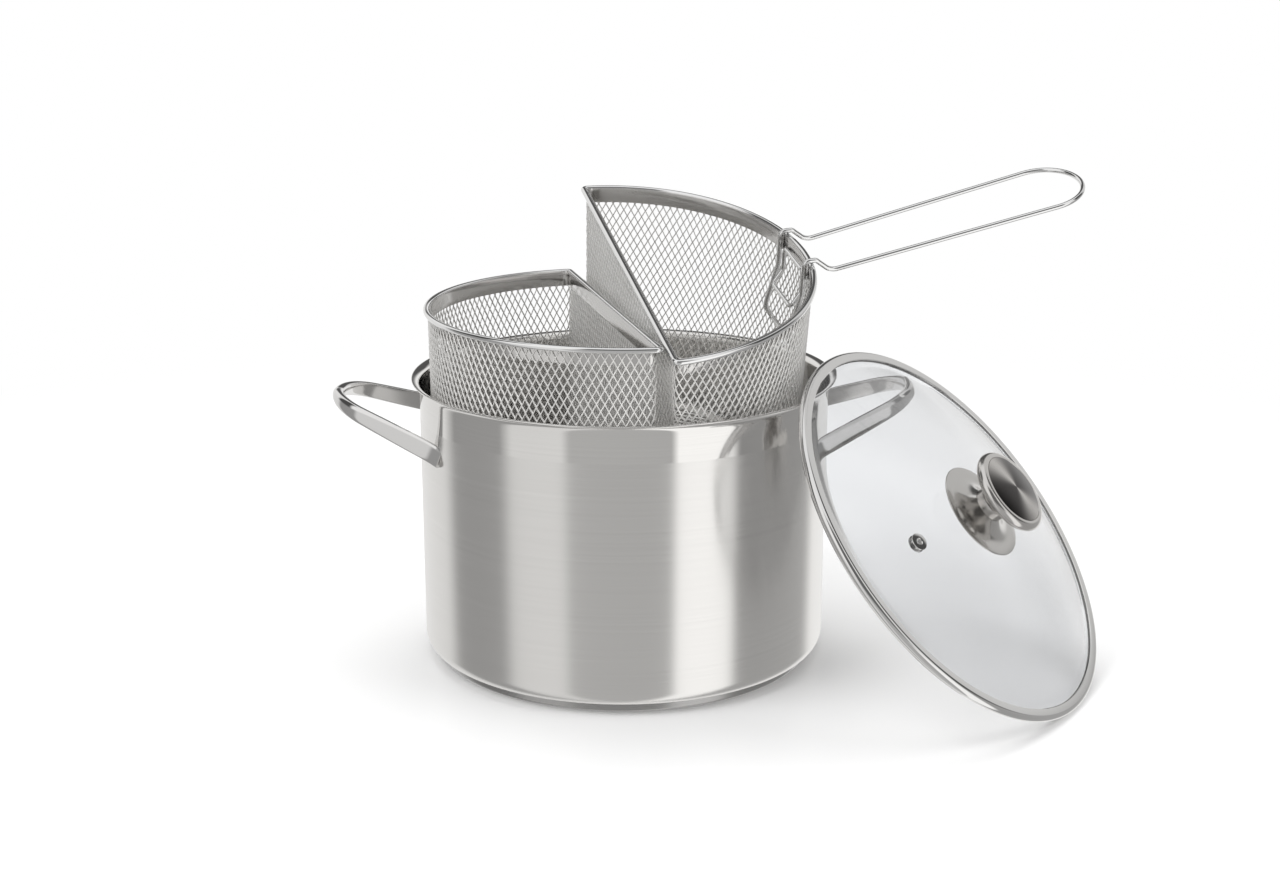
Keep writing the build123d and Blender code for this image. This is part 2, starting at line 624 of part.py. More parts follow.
def right_place():
    """The right basket, wedged in the mouth: front wall on the lip, the arc's low back end on the wall."""
    turn = Rot(Y=RIGHT_TILT_SIDE) * Rot(X=RIGHT_TILT_BACK)
    axis = Vector(0, 0, 1).rotate(Axis.X, RIGHT_TILT_BACK).rotate(Axis.Y, RIGHT_TILT_SIDE)
    lean = acos(axis.Z)
    flat = hypot(axis.X, axis.Y)
    back = (-axis.X / flat, -axis.Y / flat)
    side = (back[1], -back[0])
    bore = POT_INNER_RADIUS - SEAT_GAP
    corner = BASKET_CORNER_RADIUS
    straight = BASKET_DEPTH - corner
    wall = RIM_RADIUS - MESH_INSET
    corner_radius = wall - straight * TAPER - corner
    end_turn = radians(BASKET_TURN) + acos((FLAT_OFFSET + MESH_INSET) / RIM_RADIUS) - atan2(back[1], back[0])
    end_side = corner_radius * sin(end_turn) - RIGHT_SIDE_SHIFT
    reach = sqrt((bore - corner) ** 2 - end_side ** 2)
    shift = reach - corner_radius * cos(end_turn) * cos(lean) - straight * sin(lean)
    drop = (wall * cos(lean) - bore - shift) / (sin(lean) + TAPER * cos(lean))
    touch = wall - drop * TAPER
    height = BEND_HEIGHT + touch * sin(lean) + drop * cos(lean)
    x = shift * back[0] + RIGHT_SIDE_SHIFT * side[0]
    y = shift * back[1] + RIGHT_SIDE_SHIFT * side[1]
    return Pos(x, y, height) * turn * Rot(Z=BASKET_TURN)


def left_place():
    """The left basket, nearly upright, its round wall against the front of the pot's mouth."""
    tilt = Rot(Y=LEFT_TILT_SIDE) * Rot(X=LEFT_TILT_BACK)
    drop = LEFT_RAISE + POT_HEIGHT - BEND_HEIGHT
    wall = RIM_RADIUS - MESH_INSET - drop * TAPER
    swing_x = tan(radians(LEFT_TILT_SIDE)) * drop
    swing_y = -tan(radians(LEFT_TILT_BACK)) * drop
    shift = POT_INNER_RADIUS - SEAT_GAP - wall
    turn = radians(LEFT_CONTACT_TURN)
    x = shift * cos(turn) + swing_x
    y = shift * sin(turn) + swing_y
    return Pos(x, y, POT_HEIGHT + LEFT_RAISE) * tilt * Rot(Z=BASKET_TURN + 180)


def lid_place():
    """The lid, standing on the floor and leaning on the pot's lip and right side handle."""
    lean = radians(LID_LEAN_ANGLE)
    turn = radians(LID_LEAN_TURN)
    height = SEAT_GAP + GLASS_RADIUS * cos(lean) + BEAD_RADIUS
    contact = GLASS_THICKNESS / 2 + LID_SKIRT_DROP + SEAT_GAP
    away = LIP_RADIUS + (sin(lean) * (POT_HEIGHT - height) + contact) / cos(lean)
    ahead = (cos(turn), sin(turn))
    across = (-sin(turn), cos(turn))
    origin = (away * ahead[0] + LID_SIDE_SHIFT * across[0], away * ahead[1] + LID_SIDE_SHIFT * across[1], height)
    normal = (cos(lean) * ahead[0], cos(lean) * ahead[1], sin(lean))
    return Plane(origin=origin, x_dir=(across[0], across[1], 0), z_dir=normal)


def basket(name, place):
    """The seven pieces of one basket, put in their place."""
    shell = mesh_shell()
    wall_foot = -(BASKET_DEPTH - BASKET_CORNER_RADIUS)
    walls = shell & slab(wall_foot, 0)
    floor = shell & slab(-BASKET_DEPTH, wall_foot)
    near = FLAT_OFFSET + MESH_INSET + MESH_THICKNESS
    foot = near + BASKET_DEPTH * TAPER
    outline = Polyline((0, 0), (near, 0), (foot, -BASKET_DEPTH), (0, -BASKET_DEPTH), close=True)
    front = extrude(Plane.XZ * make_face(outline), RIM_RADIUS, both=True)
    flat = walls & front
    arc = walls - front
    round_wire = rim_arc()
    pieces = {
        "rim_arc": round_wire,
        "rim_bar": rim_bar(round_wire),
        "rim_band": rim_band(),
        "arc_mesh": arc_wall(arc),
        "flat_mesh": flat_wall(flat),
        "floor_mesh": floor_mesh(floor),
        "handle_bracket": bracket(),
    }
    return {name + "_" + piece: place * solid for piece, solid in pieces.items()}


def build():
    """All pieces of the pot by name."""
    parts = {
        "pot_body": pot_body(),
        "base_core": base_core(),
        "base_cap": base_cap(),
        "side_handle_right": side_handle(HANDLE_TURN),
        "side_handle_left": side_handle(HANDLE_TURN + 180),
    }
    parts.update(basket("left", left_place()))
    parts.update(basket("right", right_place()))
    parts["wire_handle"] = right_place() * wire_handle()
    lid = lid_place()
    for name, piece in (
        ("lid_glass", lid_glass()),
        ("lid_rim", lid_rim()),
        ("vent_eyelet", vent_eyelet()),
        ("knob_base", knob_base()),
        ("knob_stem", knob_stem()),
        ("knob_cap", knob_cap()),
        ("knob_inlay", knob_inlay()),
        ("knob_screw", knob_screw()),
        ("knob_washer", knob_washer()),
    ):
        parts[name] = lid * piece
    return parts


os.makedirs("parts", exist_ok=True)
for node, solid in build().items():
    export_step(solid, "parts/" + node + ".step")
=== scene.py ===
"""Pasta pot with two half round strainer baskets, a wire handle and a leaning glass lid.

Sizes are in millimetres, as on the drawing of the pot, and become metres when a mesh is made.
The origin is the middle of the pot's underside, +Z up, with the viewer on the -Y side.
"""
import logging
import math
from collections.abc import Sequence
from dataclasses import dataclass, field
from enum import Enum

import bmesh
import bpy
import numpy as np
from mathutils import Matrix


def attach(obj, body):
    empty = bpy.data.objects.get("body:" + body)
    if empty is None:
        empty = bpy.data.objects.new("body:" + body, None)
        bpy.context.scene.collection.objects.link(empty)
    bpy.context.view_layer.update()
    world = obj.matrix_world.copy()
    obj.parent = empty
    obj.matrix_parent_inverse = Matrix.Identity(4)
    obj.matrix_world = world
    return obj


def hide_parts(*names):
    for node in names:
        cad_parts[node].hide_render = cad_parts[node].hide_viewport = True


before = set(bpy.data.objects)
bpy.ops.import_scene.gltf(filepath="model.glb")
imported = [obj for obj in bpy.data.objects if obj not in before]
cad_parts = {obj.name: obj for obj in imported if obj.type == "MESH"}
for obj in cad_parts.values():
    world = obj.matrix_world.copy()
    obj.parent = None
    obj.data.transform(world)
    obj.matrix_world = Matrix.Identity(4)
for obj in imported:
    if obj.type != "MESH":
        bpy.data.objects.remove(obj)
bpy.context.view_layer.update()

Array = np.ndarray
Surface = tuple[Array, Array]
Colour = tuple[float, float, float]
Socket = bpy.types.NodeSocket
Value = Socket | float | Sequence[float]

MM = 0.001
FULL_TURN = 2 * math.pi
# Edges that turn by more degrees than this stay crisp, where a piece has no value of its own.
SHARP = 35.0
# Cosine from Z above which a path's first tangent counts as upright.
STEEP = 0.9
# Points closer than the gap are joined, and edges shorter than the sliver dropped, both in metres.
WELD_GAP = 1e-7
SLIVER = 1e-8
log = logging.getLogger("pasta_pot")


class Body(Enum):
    """The parts that move on their own."""

    POT = "pot"
    LEFT = "basket_left"
    RIGHT = "basket_right"
    HANDLE = "basket_handle"
    LID = "lid"


# Places and surfaces

def turn_about(axis: str, degrees: float) -> Array:
    """Rotation matrix about one axis.

    Args:
        axis: "x", "y" or "z".
        degrees: angle by the right-hand rule.

    Returns:
        A 3 by 3 matrix.
    """
    c, s = math.cos(math.radians(degrees)), math.sin(math.radians(degrees))
    return {
        "x": np.array([[1, 0, 0], [0, c, -s], [0, s, c]]),
        "y": np.array([[c, 0, s], [0, 1, 0], [-s, 0, c]]),
        "z": np.array([[c, -s, 0], [s, c, 0], [0, 0, 1]]),
    }[axis]


@dataclass(frozen=True)
class Place:
    """Where a piece stands: its turned axes as columns, and its origin in millimetres."""

    axes: Array = field(default_factory=lambda: np.eye(3))
    origin: Array = field(default_factory=lambda: np.zeros(3))

    def put(self, points: Array) -> Array:
        """Points of the piece's own frame in the shared frame: axes times point, plus origin."""
        return points @ self.axes.T + self.origin

    def inner(self, other: "Place") -> "Place":
        """The place that other has within this one."""
        return Place(self.axes @ other.axes, self.put(other.origin[None, :])[0])


def unit(vectors: Array) -> Array:
    """Vectors divided by their lengths."""
    return vectors / np.linalg.norm(vectors, axis=-1, keepdims=True)


def arc(centre: tuple[float, float], radius: float, start: float, end: float, count: int) -> Array:
    """Arc of a circle: centre plus radius times (cos, sin) of evenly spaced angles.

    Args:
        centre: the arc's centre.
        radius: its radius.
        start: first angle in degrees.
        end: last angle in degrees.
        count: number of points.

    Returns:
        An array of count points in the plane.
    """
    angles = np.radians(np.linspace(start, end, count))
    return np.array(centre) + radius * np.stack([np.cos(angles), np.sin(angles)], 1)


def grid_faces(rows: int, columns: int, wrap_rows: bool, wrap_columns: bool) -> Array:
    """Quads of a grid of rows times columns points, joined end to start where it wraps.

    Args:
        rows: number of rows of points.
        columns: points in a row.
        wrap_rows: whether the last row joins the first.
        wrap_columns: whether a row closes on itself.

    Returns:
        An array of quads, four indices each.
    """
    starts = np.arange(rows - (not wrap_rows)), np.arange(columns - (not wrap_columns))
    i, j = (index.ravel() for index in np.meshgrid(*starts, indexing="ij"))
    after, beside = (i + 1) % rows, (j + 1) % columns
    return np.stack([i * columns + j, i * columns + beside, after * columns + beside, after * columns + j], 1)


def revolved(profile: Array, steps: int = 192) -> Surface:
    """Surface of revolution about Z: (r cos a, r sin a, z) for each profile point and each angle a.

    Args:
        profile: closed outline of (radius, height) points.
        steps: number of angles.

    Returns:
        Points and quads.
    """
    angles = np.arange(steps) * FULL_TURN / steps
    r, z = profile[None, :, 0], profile[None, :, 1]
    points = np.stack([r * np.cos(angles)[:, None], r * np.sin(angles)[:, None], z + 0 * angles[:, None]], 2)
    return points.reshape(-1, 3), grid_faces(steps, len(profile), True, True)


def rounded_path(corners: Array, radii: list[float], arc_steps: int = 10) -> Array:
    """Open path of straight runs whose inner corners are tangent arcs.

    At a corner that turns by t, an arc of radius r starts r tan(t / 2) before it. Its points are
    the centre plus r times the two tangent directions' blend by sine and cosine.

    Args:
        corners: the path's corner points, first and last included.
        radii: one radius for each inner corner.
        arc_steps: points on each arc.

    Returns:
        The points of the path.
    """
    runs = [corners[:1]]
    for before, corner, after, radius in zip(corners[:-2], corners[1:-1], corners[2:], radii):
        arriving, leaving = unit(corner - before), unit(after - corner)
        turn = math.acos(float(np.clip(arriving @ leaving, -1, 1)))
        across = unit(leaving - arriving * (arriving @ leaving))
        start = corner - arriving * radius * math.tan(turn / 2)
        angles = np.linspace(0, turn, arc_steps)[:, None]
        runs.append(start + radius * (np.sin(angles) * arriving + (1 - np.cos(angles)) * across))
    runs.append(corners[-1:])
    return np.concatenate(runs)


def swept(path: Array, sections: Array, closed: bool) -> Surface:
    """Section carried along a path on frames that turn as little as they can.

    Each frame is the one before, turned with the path's direction; on a closed path the twist that
    is left over is spread evenly. A point is path + a times section x + b times section y.

    Args:
        path: points of the path.
        sections: one outline for all, or one for each point of the path.
        closed: whether the path joins its own start; an open one gets capped ends.

    Returns:
        Points and quads.
    """
    if closed:
        tangents = unit(np.roll(path, -1, 0) - np.roll(path, 1, 0))
    else:
        tangents = unit(np.gradient(path, axis=0))
    seed = np.array([0.0, 0.0, 1.0])
    if abs(tangents[0] @ seed) > STEEP:
        seed = np.array([1.0, 0.0, 0.0])
    first = unit(np.cross(np.cross(tangents[0], seed), tangents[0]))
    sides = [first]
    for tangent in tangents[1:]:
        carried = sides[-1] - tangent * (sides[-1] @ tangent)
        sides.append(unit(carried))
    side = np.array(sides)
    other = np.cross(tangents, side)
    if closed:
        last = unit(side[-1] - tangents[0] * (side[-1] @ tangents[0]))
        twist = math.atan2(last @ other[0], last @ side[0])
        share = -twist * np.arange(len(path))[:, None] / len(path)
        cosine, sine = np.cos(share), np.sin(share)
        side, other = cosine * side + sine * other, cosine * other - sine * side
    outline = np.broadcast_to(sections, (len(path),) + sections.shape[-2:])
    rings = path[:, None] + outline[..., :1] * side[:, None] + outline[..., 1:] * other[:, None]
    count = outline.shape[1]
    if closed:
        return rings.reshape(-1, 3), grid_faces(len(path), count, True, True)
    ends = [np.broadcast_to(rings[k].mean(0), (1, count, 3)) for k in (0, -1)]
    rings = np.concatenate([ends[0], rings, ends[1]])
    return rings.reshape(-1, 3), grid_faces(len(rings), count, False, True)


def circle_section(diameter: float, sides: int = 16) -> Array:
    """Outline of a round wire."""
    angles = np.arange(sides) * FULL_TURN / sides
    return diameter / 2 * np.stack([np.cos(angles), np.sin(angles)], 1)


def make_piece(
    name: str,
    surface: Surface,
    place: Place,
    body: Body,
    finish: bpy.types.Material,
    nodes: tuple[str, ...],
    sharp: float = SHARP,
    solid: bool = True,
) -> bpy.types.Object:
    """Puts a surface into a mesh, closes its poles and seams, and seats it on its body.

    Args:
        name: the piece's name.
        surface: points in millimetres and quads.
        place: where the piece stands.
        body: the body that it moves with.
        finish: its material.
        nodes: CAD nodes that it stands for.
        sharp: edges that turn by more degrees than this stay crisp.
        solid: whether the surface is a closed shell whose faces are turned outwards.

    Returns:
        The new object.
    """
    points, faces = surface
    mesh = bpy.data.meshes.new(name)
    placed = place.put(points) * MM
    mesh.vertices.add(len(placed))
    mesh.vertices.foreach_set("co", placed.astype(np.float32).ravel())
    mesh.loops.add(faces.size)
    mesh.loops.foreach_set("vertex_index", faces.astype(np.int32).ravel())
    mesh.polygons.add(len(faces))
    mesh.polygons.foreach_set("loop_start", np.arange(0, faces.size, faces.shape[1], dtype=np.int32))
    mesh.update(calc_edges=True)
    shell = bmesh.new()
    shell.from_mesh(mesh)
    bmesh.ops.remove_doubles(shell, verts=shell.verts, dist=WELD_GAP)
    bmesh.ops.dissolve_degenerate(shell, edges=shell.edges, dist=SLIVER)
    if solid:
        bmesh.ops.recalc_face_normals(shell, faces=shell.faces)
    shell.to_mesh(mesh)
    shell.free()
    mesh.polygons.foreach_set("use_smooth", np.ones(len(mesh.polygons), dtype=bool))
    mesh.set_sharp_from_angle(angle=math.radians(sharp))
    mesh.materials.append(finish)
    piece = bpy.data.objects.new(name, mesh)
    bpy.context.scene.collection.objects.link(piece)
    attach(piece, body.value)
    if nodes:
        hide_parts(*nodes)
    log.info("%s: %d faces on %s", name, len(mesh.polygons), body.value)
    return piece


# Finishes

@dataclass(frozen=True)
class Wiring:
    """A node tree with short ways to add nodes; every input takes a socket or a plain value."""

    tree: bpy.types.NodeTree

    def fill(self, node: bpy.types.Node, inputs: dict[str | int, Value]) -> None:
        """Feeds a node's inputs.

        Args:
            node: the node.
            inputs: a socket to link or a value to set, for each input's name or number.
        """
        for key, value in inputs.items():
            if isinstance(value, Socket):
                self.tree.links.new(value, node.inputs[key])
            else:
                node.inputs[key].default_value = value

    def node(self, kind: str, inputs: dict[str | int, Value] | None = None) -> bpy.types.Node:
        """Adds a node.

        Args:
            kind: the node's type.
            inputs: what its inputs get.

        Returns:
            The new node.
        """
        made = self.tree.nodes.new(kind)
        self.fill(made, inputs or {})
        return made

    def group(self, group: bpy.types.NodeTree, inputs: dict[str | int, Value]) -> bpy.types.Node:
        """Adds a node group, whose inputs are there once the node has its tree.

        Args:
            group: the group's tree.
            inputs: what its inputs get.

        Returns:
            The new node.
        """
        made = self.node("ShaderNodeGroup")
        made.node_tree = group
        self.fill(made, inputs)
        return made

    def math(self, operation: str, *values: Value) -> Socket:
        """Adds a calculation.

        Args:
            operation: the Math node's operation.
            values: its inputs in order.

        Returns:
            The result's socket.
        """
        made = self.node("ShaderNodeMath")
        made.operation = operation
        self.fill(made, dict(enumerate(values)))
        return made.outputs[0]

    def span(self, value: Value, start: float, end: float, low: float = 0.0, high: float = 1.0) -> Socket:
        """Adds a range: low up to start, high from end on, and a straight line between.

        Args:
            value: what runs from start to end.
            start: its lower mark.
            end: its upper mark.
            low: the result at the lower mark.
            high: the result at the upper mark.

        Returns:
            The result's socket.
        """
        made = self.node("ShaderNodeMapRange", {
            "Value": value, "From Min": start, "From Max": end, "To Min": low, "To Max": high,
        })
        return made.outputs["Result"]

    def mix(self, share: Value, low: Value, high: Value, kind: str = "RGBA") -> Socket:
        """Adds a mix: low where the share is 0, high where it is 1.

        Args:
            share: the factor.
            low: first colour or number.
            high: second colour or number.
            kind: "RGBA" for colours, "FLOAT" for numbers.

        Returns:
            The result's socket.
        """
        made = self.node("ShaderNodeMix")
        made.data_type = kind
        self.fill(made, {"Factor": share, "A": low, "B": high})
        return made.outputs["Result"]

    def surface(self, share: Value, first: Socket, second: Socket) -> None:
        """Mixes two shaders and shows the result.

        Args:
            share: 0 for the first shader, 1 for the second.
            first: one shader's socket.
            second: the other's.
        """
        made = self.node("ShaderNodeMixShader", {0: share, 1: first, 2: second})
        self.fill(self.tree.nodes["Material Output"], {"Surface": made.outputs["Shader"]})

    def coordinates(self, kind: str = "Object") -> Socket:
        """Texture coordinates of one kind."""
        return self.node("ShaderNodeTexCoord").outputs[kind]


def grey(level: float) -> tuple[float, float, float, float]:
    """Opaque grey of one level."""
    return (level, level, level, 1.0)


def socket(group: bpy.types.NodeTree, name: str, kind: str, way: str, value: float | None = None) -> None:
    """Adds an input or output to a node group.

    Args:
        group: the node group.
        name: the socket's name.
        kind: "NodeSocketFloat", "NodeSocketColor" or "NodeSocketVector".
        way: "INPUT" or "OUTPUT".
        value: an input's default.
    """
    made = group.interface.new_socket(name=name, in_out=way, socket_type=kind)
    if value is not None:
        made.default_value = value


def brush_group(
    fine_share: float = 0.65,
    uneven: float = 0.6,
    fine_detail: float = 3.0,
    coarse_detail: float = 2.0,
) -> bpy.types.NodeTree:
    """Node group of brush lines: noise stretched along the brushing, with a finer and a coarser layer.

    Line is fine_share times the finer noise plus the rest times the coarser one.

    Args:
        fine_share: how much of a line comes from the finer layer.
        uneven: roughness of both noises.
        fine_detail: octaves of the finer layer.
        coarse_detail: octaves of the coarser layer.

    Returns:
        A group whose Line output runs from 0 to 1 and whose Cloud output varies slowly.
    """
    group = bpy.data.node_groups.new("brush_lines", "ShaderNodeTree")
    socket(group, "Vector", "NodeSocketVector", "INPUT")
    socket(group, "Fine", "NodeSocketFloat", "INPUT", 1.0)
    socket(group, "Coarse", "NodeSocketFloat", "INPUT", 1.0)
    socket(group, "Line", "NodeSocketFloat", "OUTPUT")
    socket(group, "Cloud", "NodeSocketFloat", "OUTPUT")
    wiring = Wiring(group)
    entry, leave = wiring.node("NodeGroupInput").outputs, wiring.node("NodeGroupOutput")
    fine, coarse = (
        wiring.node("ShaderNodeTexNoise", {
            "Vector": entry["Vector"], "Scale": entry[name], "Detail": detail, "Roughness": uneven,
        }).outputs["Fac"]
        for name, detail in (("Fine", fine_detail), ("Coarse", coarse_detail))
    )
    line = wiring.math("MULTIPLY_ADD", fine, fine_share, wiring.math("MULTIPLY", coarse, 1 - fine_share))
    wiring.fill(leave, {"Line": line, "Cloud": coarse})
    return group


def new_material(name: str) -> tuple[bpy.types.Material, Wiring, bpy.types.Node]:
    """New material with its wiring and its main shader.

    Args:
        name: the material's name.

    Returns:
        The material, the wiring of its tree, and its Principled shader.
    """
    made = bpy.data.materials.new(name)
    made.use_nodes = True
    return made, Wiring(made.node_tree), made.node_tree.nodes["Principled BSDF"]


@dataclass(frozen=True)
class Steel:
    """Stainless steel finish.

    Attributes:
        name: the material's name.
        colour: base colour of the metal.
        roughness: middle roughness.
        spread: how far the roughness varies along the brush lines.
        tint: how far the colour varies along the brush lines.
        stretch: scale of the brush lines along X, Y and Z.
        relief: depth of the lines' bump in millimetres.
        anisotropy: how far gloss is drawn out across the lines.
        metal: metallic share; a fine net scatters more light than a plain sheet.
        fine: scale of the finer lines.
        coarse: scale of the coarser lines.
        smoothest: lowest roughness of any spot.
        bump: strength of the lines' bump.
        quarter: turn of the drawn out gloss, as a share of a full turn.
    """

    name: str
    colour: Colour
    roughness: float
    spread: float = 0.05
    tint: float = 0.04
    stretch: tuple[float, float, float] = (1.0, 1.0, 1.0)
    relief: float = 0.0
    anisotropy: float = 0.0
    metal: float = 1.0
    fine: float = 1000.0
    coarse: float = 180.0
    smoothest: float = 0.02
    bump: float = 0.3
    quarter: float = 0.25

    def material(self, group: bpy.types.NodeTree) -> bpy.types.Material:
        """Builds the material: colour and roughness follow the brush lines.

        Args:
            group: the brush line group.

        Returns:
            The finished material.
        """
        made, wiring, shader = new_material(self.name)
        scaled = wiring.node("ShaderNodeMapping", {"Vector": wiring.coordinates(), "Scale": self.stretch})
        line = wiring.group(group, {
            "Vector": scaled.outputs["Vector"], "Fine": self.fine, "Coarse": self.coarse,
        }).outputs["Line"]
        dark = [max(c - self.tint, 0.0) for c in self.colour]
        light = [min(c + self.tint, 1.0) for c in self.colour]
        smooth, rough = max(self.roughness - self.spread, self.smoothest), self.roughness + self.spread
        wiring.fill(shader, {
            "Metallic": self.metal,
            "Base Color": wiring.mix(line, (*dark, 1.0), (*light, 1.0)),
            "Roughness": wiring.span(line, 0.0, 1.0, smooth, rough),
        })
        if self.relief:
            bump = wiring.node("ShaderNodeBump", {
                "Strength": self.bump, "Distance": self.relief * MM, "Height": line,
            })
            wiring.fill(shader, {"Normal": bump.outputs["Normal"]})
        if self.anisotropy:
            tangent = wiring.node("ShaderNodeTangent")
            tangent.direction_type = "RADIAL"
            tangent.axis = "Z"
            wiring.fill(shader, {
                "Anisotropic": self.anisotropy,
                "Anisotropic Rotation": self.quarter,
                "Tangent": tangent.outputs["Tangent"],
            })
        return made


@dataclass(frozen=True)
class Glass:
    """Clear tempered glass with a faint grey-blue body.

    Attributes:
        name: the material's name.
        colour: colour that light takes on in the glass.
        index: refractive index.
        shade: share of light that its shadow lets through.
        film: the tint's darkest spots, as a share of the colour.
        fine: scale of the tint's finer unevenness.
        coarse: scale of its coarser unevenness.
    """

    name: str
    colour: Colour
    index: float
    shade: float
    film: float = 0.985
    fine: float = 60.0
    coarse: float = 14.0

    def material(self, group: bpy.types.NodeTree) -> bpy.types.Material:
        """Builds the material: glass for what is seen, tinted clear for shadows and scattered light.

        A ray is scattered when it is diffuse, or glossy but not refracted.

        Args:
            group: the brush line group, used for a faint unevenness of the tint.

        Returns:
            The finished material.
        """
        made, wiring, shader = new_material(self.name)
        cloud = wiring.group(group, {
            "Vector": wiring.coordinates(), "Fine": self.fine, "Coarse": self.coarse,
        }).outputs["Cloud"]
        dark = [self.film * c for c in self.colour]
        wiring.fill(shader, {
            "Base Color": wiring.mix(cloud, (*self.colour, 1.0), (*dark, 1.0)),
            "Roughness": 0.0,
            "IOR": self.index,
            "Transmission Weight": 1.0,
        })
        clear = wiring.node("ShaderNodeBsdfTransparent", {"Color": grey(self.shade)})
        path = wiring.node("ShaderNodeLightPath").outputs
        mirrored = wiring.math("SUBTRACT", path["Is Glossy Ray"], path["Is Transmission Ray"])
        scattered = wiring.math("MAXIMUM", mirrored, path["Is Diffuse Ray"])
        unseen = wiring.math("MAXIMUM", scattered, path["Is Shadow Ray"])
        wiring.surface(unseen, shader.outputs["BSDF"], clear.outputs["BSDF"])
        return made


@dataclass(frozen=True)
class Rubber:
    """Matt black rubber with a fine grain.

    Attributes:
        name: the material's name.
        colour: base colour.
        roughness: middle roughness.
        spread: how far the roughness varies over the grain.
        fine: scale of the finer grain.
        coarse: scale of the coarser grain.
    """

    name: str
    colour: Colour
    roughness: float
    spread: float = 0.1
    fine: float = 900.0
    coarse: float = 200.0

    def material(self, group: bpy.types.NodeTree) -> bpy.types.Material:
        """Builds the material: the roughness follows the grain.

        Args:
            group: the brush line group, unstretched.

        Returns:
            The finished material.
        """
        made, wiring, shader = new_material(self.name)
        grain = wiring.group(group, {
            "Vector": wiring.coordinates(), "Fine": self.fine, "Coarse": self.coarse,
        }).outputs["Line"]
        smooth, rough = self.roughness - self.spread, self.roughness + self.spread
        wiring.fill(shader, {
            "Base Color": (*self.colour, 1.0),
            "Roughness": wiring.span(grain, 0.0, 1.0, smooth, rough),
        })
        return made


@dataclass(frozen=True)
class PaintedRays:
    """Two opposite rays of light on a disc turned on a lathe, running out from its middle.

    Attributes:
        painted_highlight: base colour within the rays, a painted highlight.
        turn: where the rays point, in degrees round the disc's axis.
        power: how narrow the rays are.
    """

    painted_highlight: Colour = (0.62, 0.60, 0.58)
    turn: float = 100.0
    power: float = 7.0

    def dress(self, material: bpy.types.Material, place: Place) -> None:
        """Adds the rays, a painted highlight: base colour by |cos(angle - turn)| to a power, in the disc's
        own frame.

        Args:
            material: the disc's material.
            place: the disc's place.
        """
        wiring = Wiring(material.node_tree)
        shader = material.node_tree.nodes["Principled BSDF"]
        own = wiring.node("ShaderNodeMapping", {
            "Vector": wiring.coordinates(),
            "Rotation": Matrix(place.axes.T.tolist()).to_euler("XYZ"),
            "Location": [-v * MM for v in place.axes.T @ place.origin],
        })
        flat = wiring.node("ShaderNodeSeparateXYZ", {"Vector": own.outputs["Vector"]}).outputs
        angle = wiring.math("ARCTAN2", flat["Y"], flat["X"])
        across = wiring.math("COSINE", wiring.math("SUBTRACT", angle, math.radians(self.turn)))
        # Painted highlight: the share of the lighter base colour at each angle.
        rays = wiring.math("POWER", wiring.math("ABSOLUTE", across), self.power)
        plain = shader.inputs["Base Color"].links[0].from_socket
        wiring.fill(shader, {"Base Color": wiring.mix(rays, plain, (*self.painted_highlight, 1.0))})


class Finish(Enum):
    """The finishes of the pot's pieces."""

    WALL = Steel("wall_brushed", (0.80, 0.79, 0.775), 0.23, 0.05, 0.055, (0.006, 0.006, 1.6), 0.008, 0.8)
    POLISHED = Steel("steel_polished", (0.76, 0.755, 0.75), 0.08, 0.02, 0.01)
    # Base cap: brushed steel whose colour is darkened as painted shade of the pot's foot.
    BASE = Steel("base_brushed_painted_shade", (0.42, 0.415, 0.41), 0.28, 0.05, 0.03, (0.006, 0.006, 1.0), 0.008, 0.6)
    # Aluminium core at the seam, near black as painted shade in the gap between vessel and base cap.
    CORE = Steel("core_aluminium", (0.09, 0.09, 0.09), 0.5, 0.05, 0.02)
    WIRE = Steel("wire_polished", (0.82, 0.82, 0.82), 0.06, 0.02, 0.01)
    BAND = Steel("band_polished", (0.70, 0.69, 0.68), 0.12, 0.03, 0.02)
    NET = Steel("net_steel", (0.90, 0.89, 0.87), 0.32, 0.06, 0.05, metal=0.6)
    KNOB = Steel("knob_steel", (0.66, 0.645, 0.63), 0.17, 0.03, 0.02)
    INLAY = Steel("inlay_dark", (0.062, 0.058, 0.057), 0.2, 0.04, 0.02)
    PLATE = Steel("plate_mirror", (0.60, 0.59, 0.575), 0.15, 0.03, 0.015)
    GLASS = Glass("lid_glass_clear", (0.80, 0.81, 0.825), 1.48, 0.88)
    RUBBER = Rubber("washer_rubber_black", (0.03, 0.03, 0.03), 0.6)


Finishes = dict[Finish, bpy.types.Material]


def dress(finishes: Finishes, node: str, finish: Finish) -> None:
    """Gives a CAD node a better material in each of its slots.

    Args:
        finishes: the built materials.
        node: the node's name.
        finish: the finish that it gets.
    """
    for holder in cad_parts[node].material_slots:
        holder.material = finishes[finish]
    log.info("%s: dressed in %s", node, finishes[finish].name)


# Pot

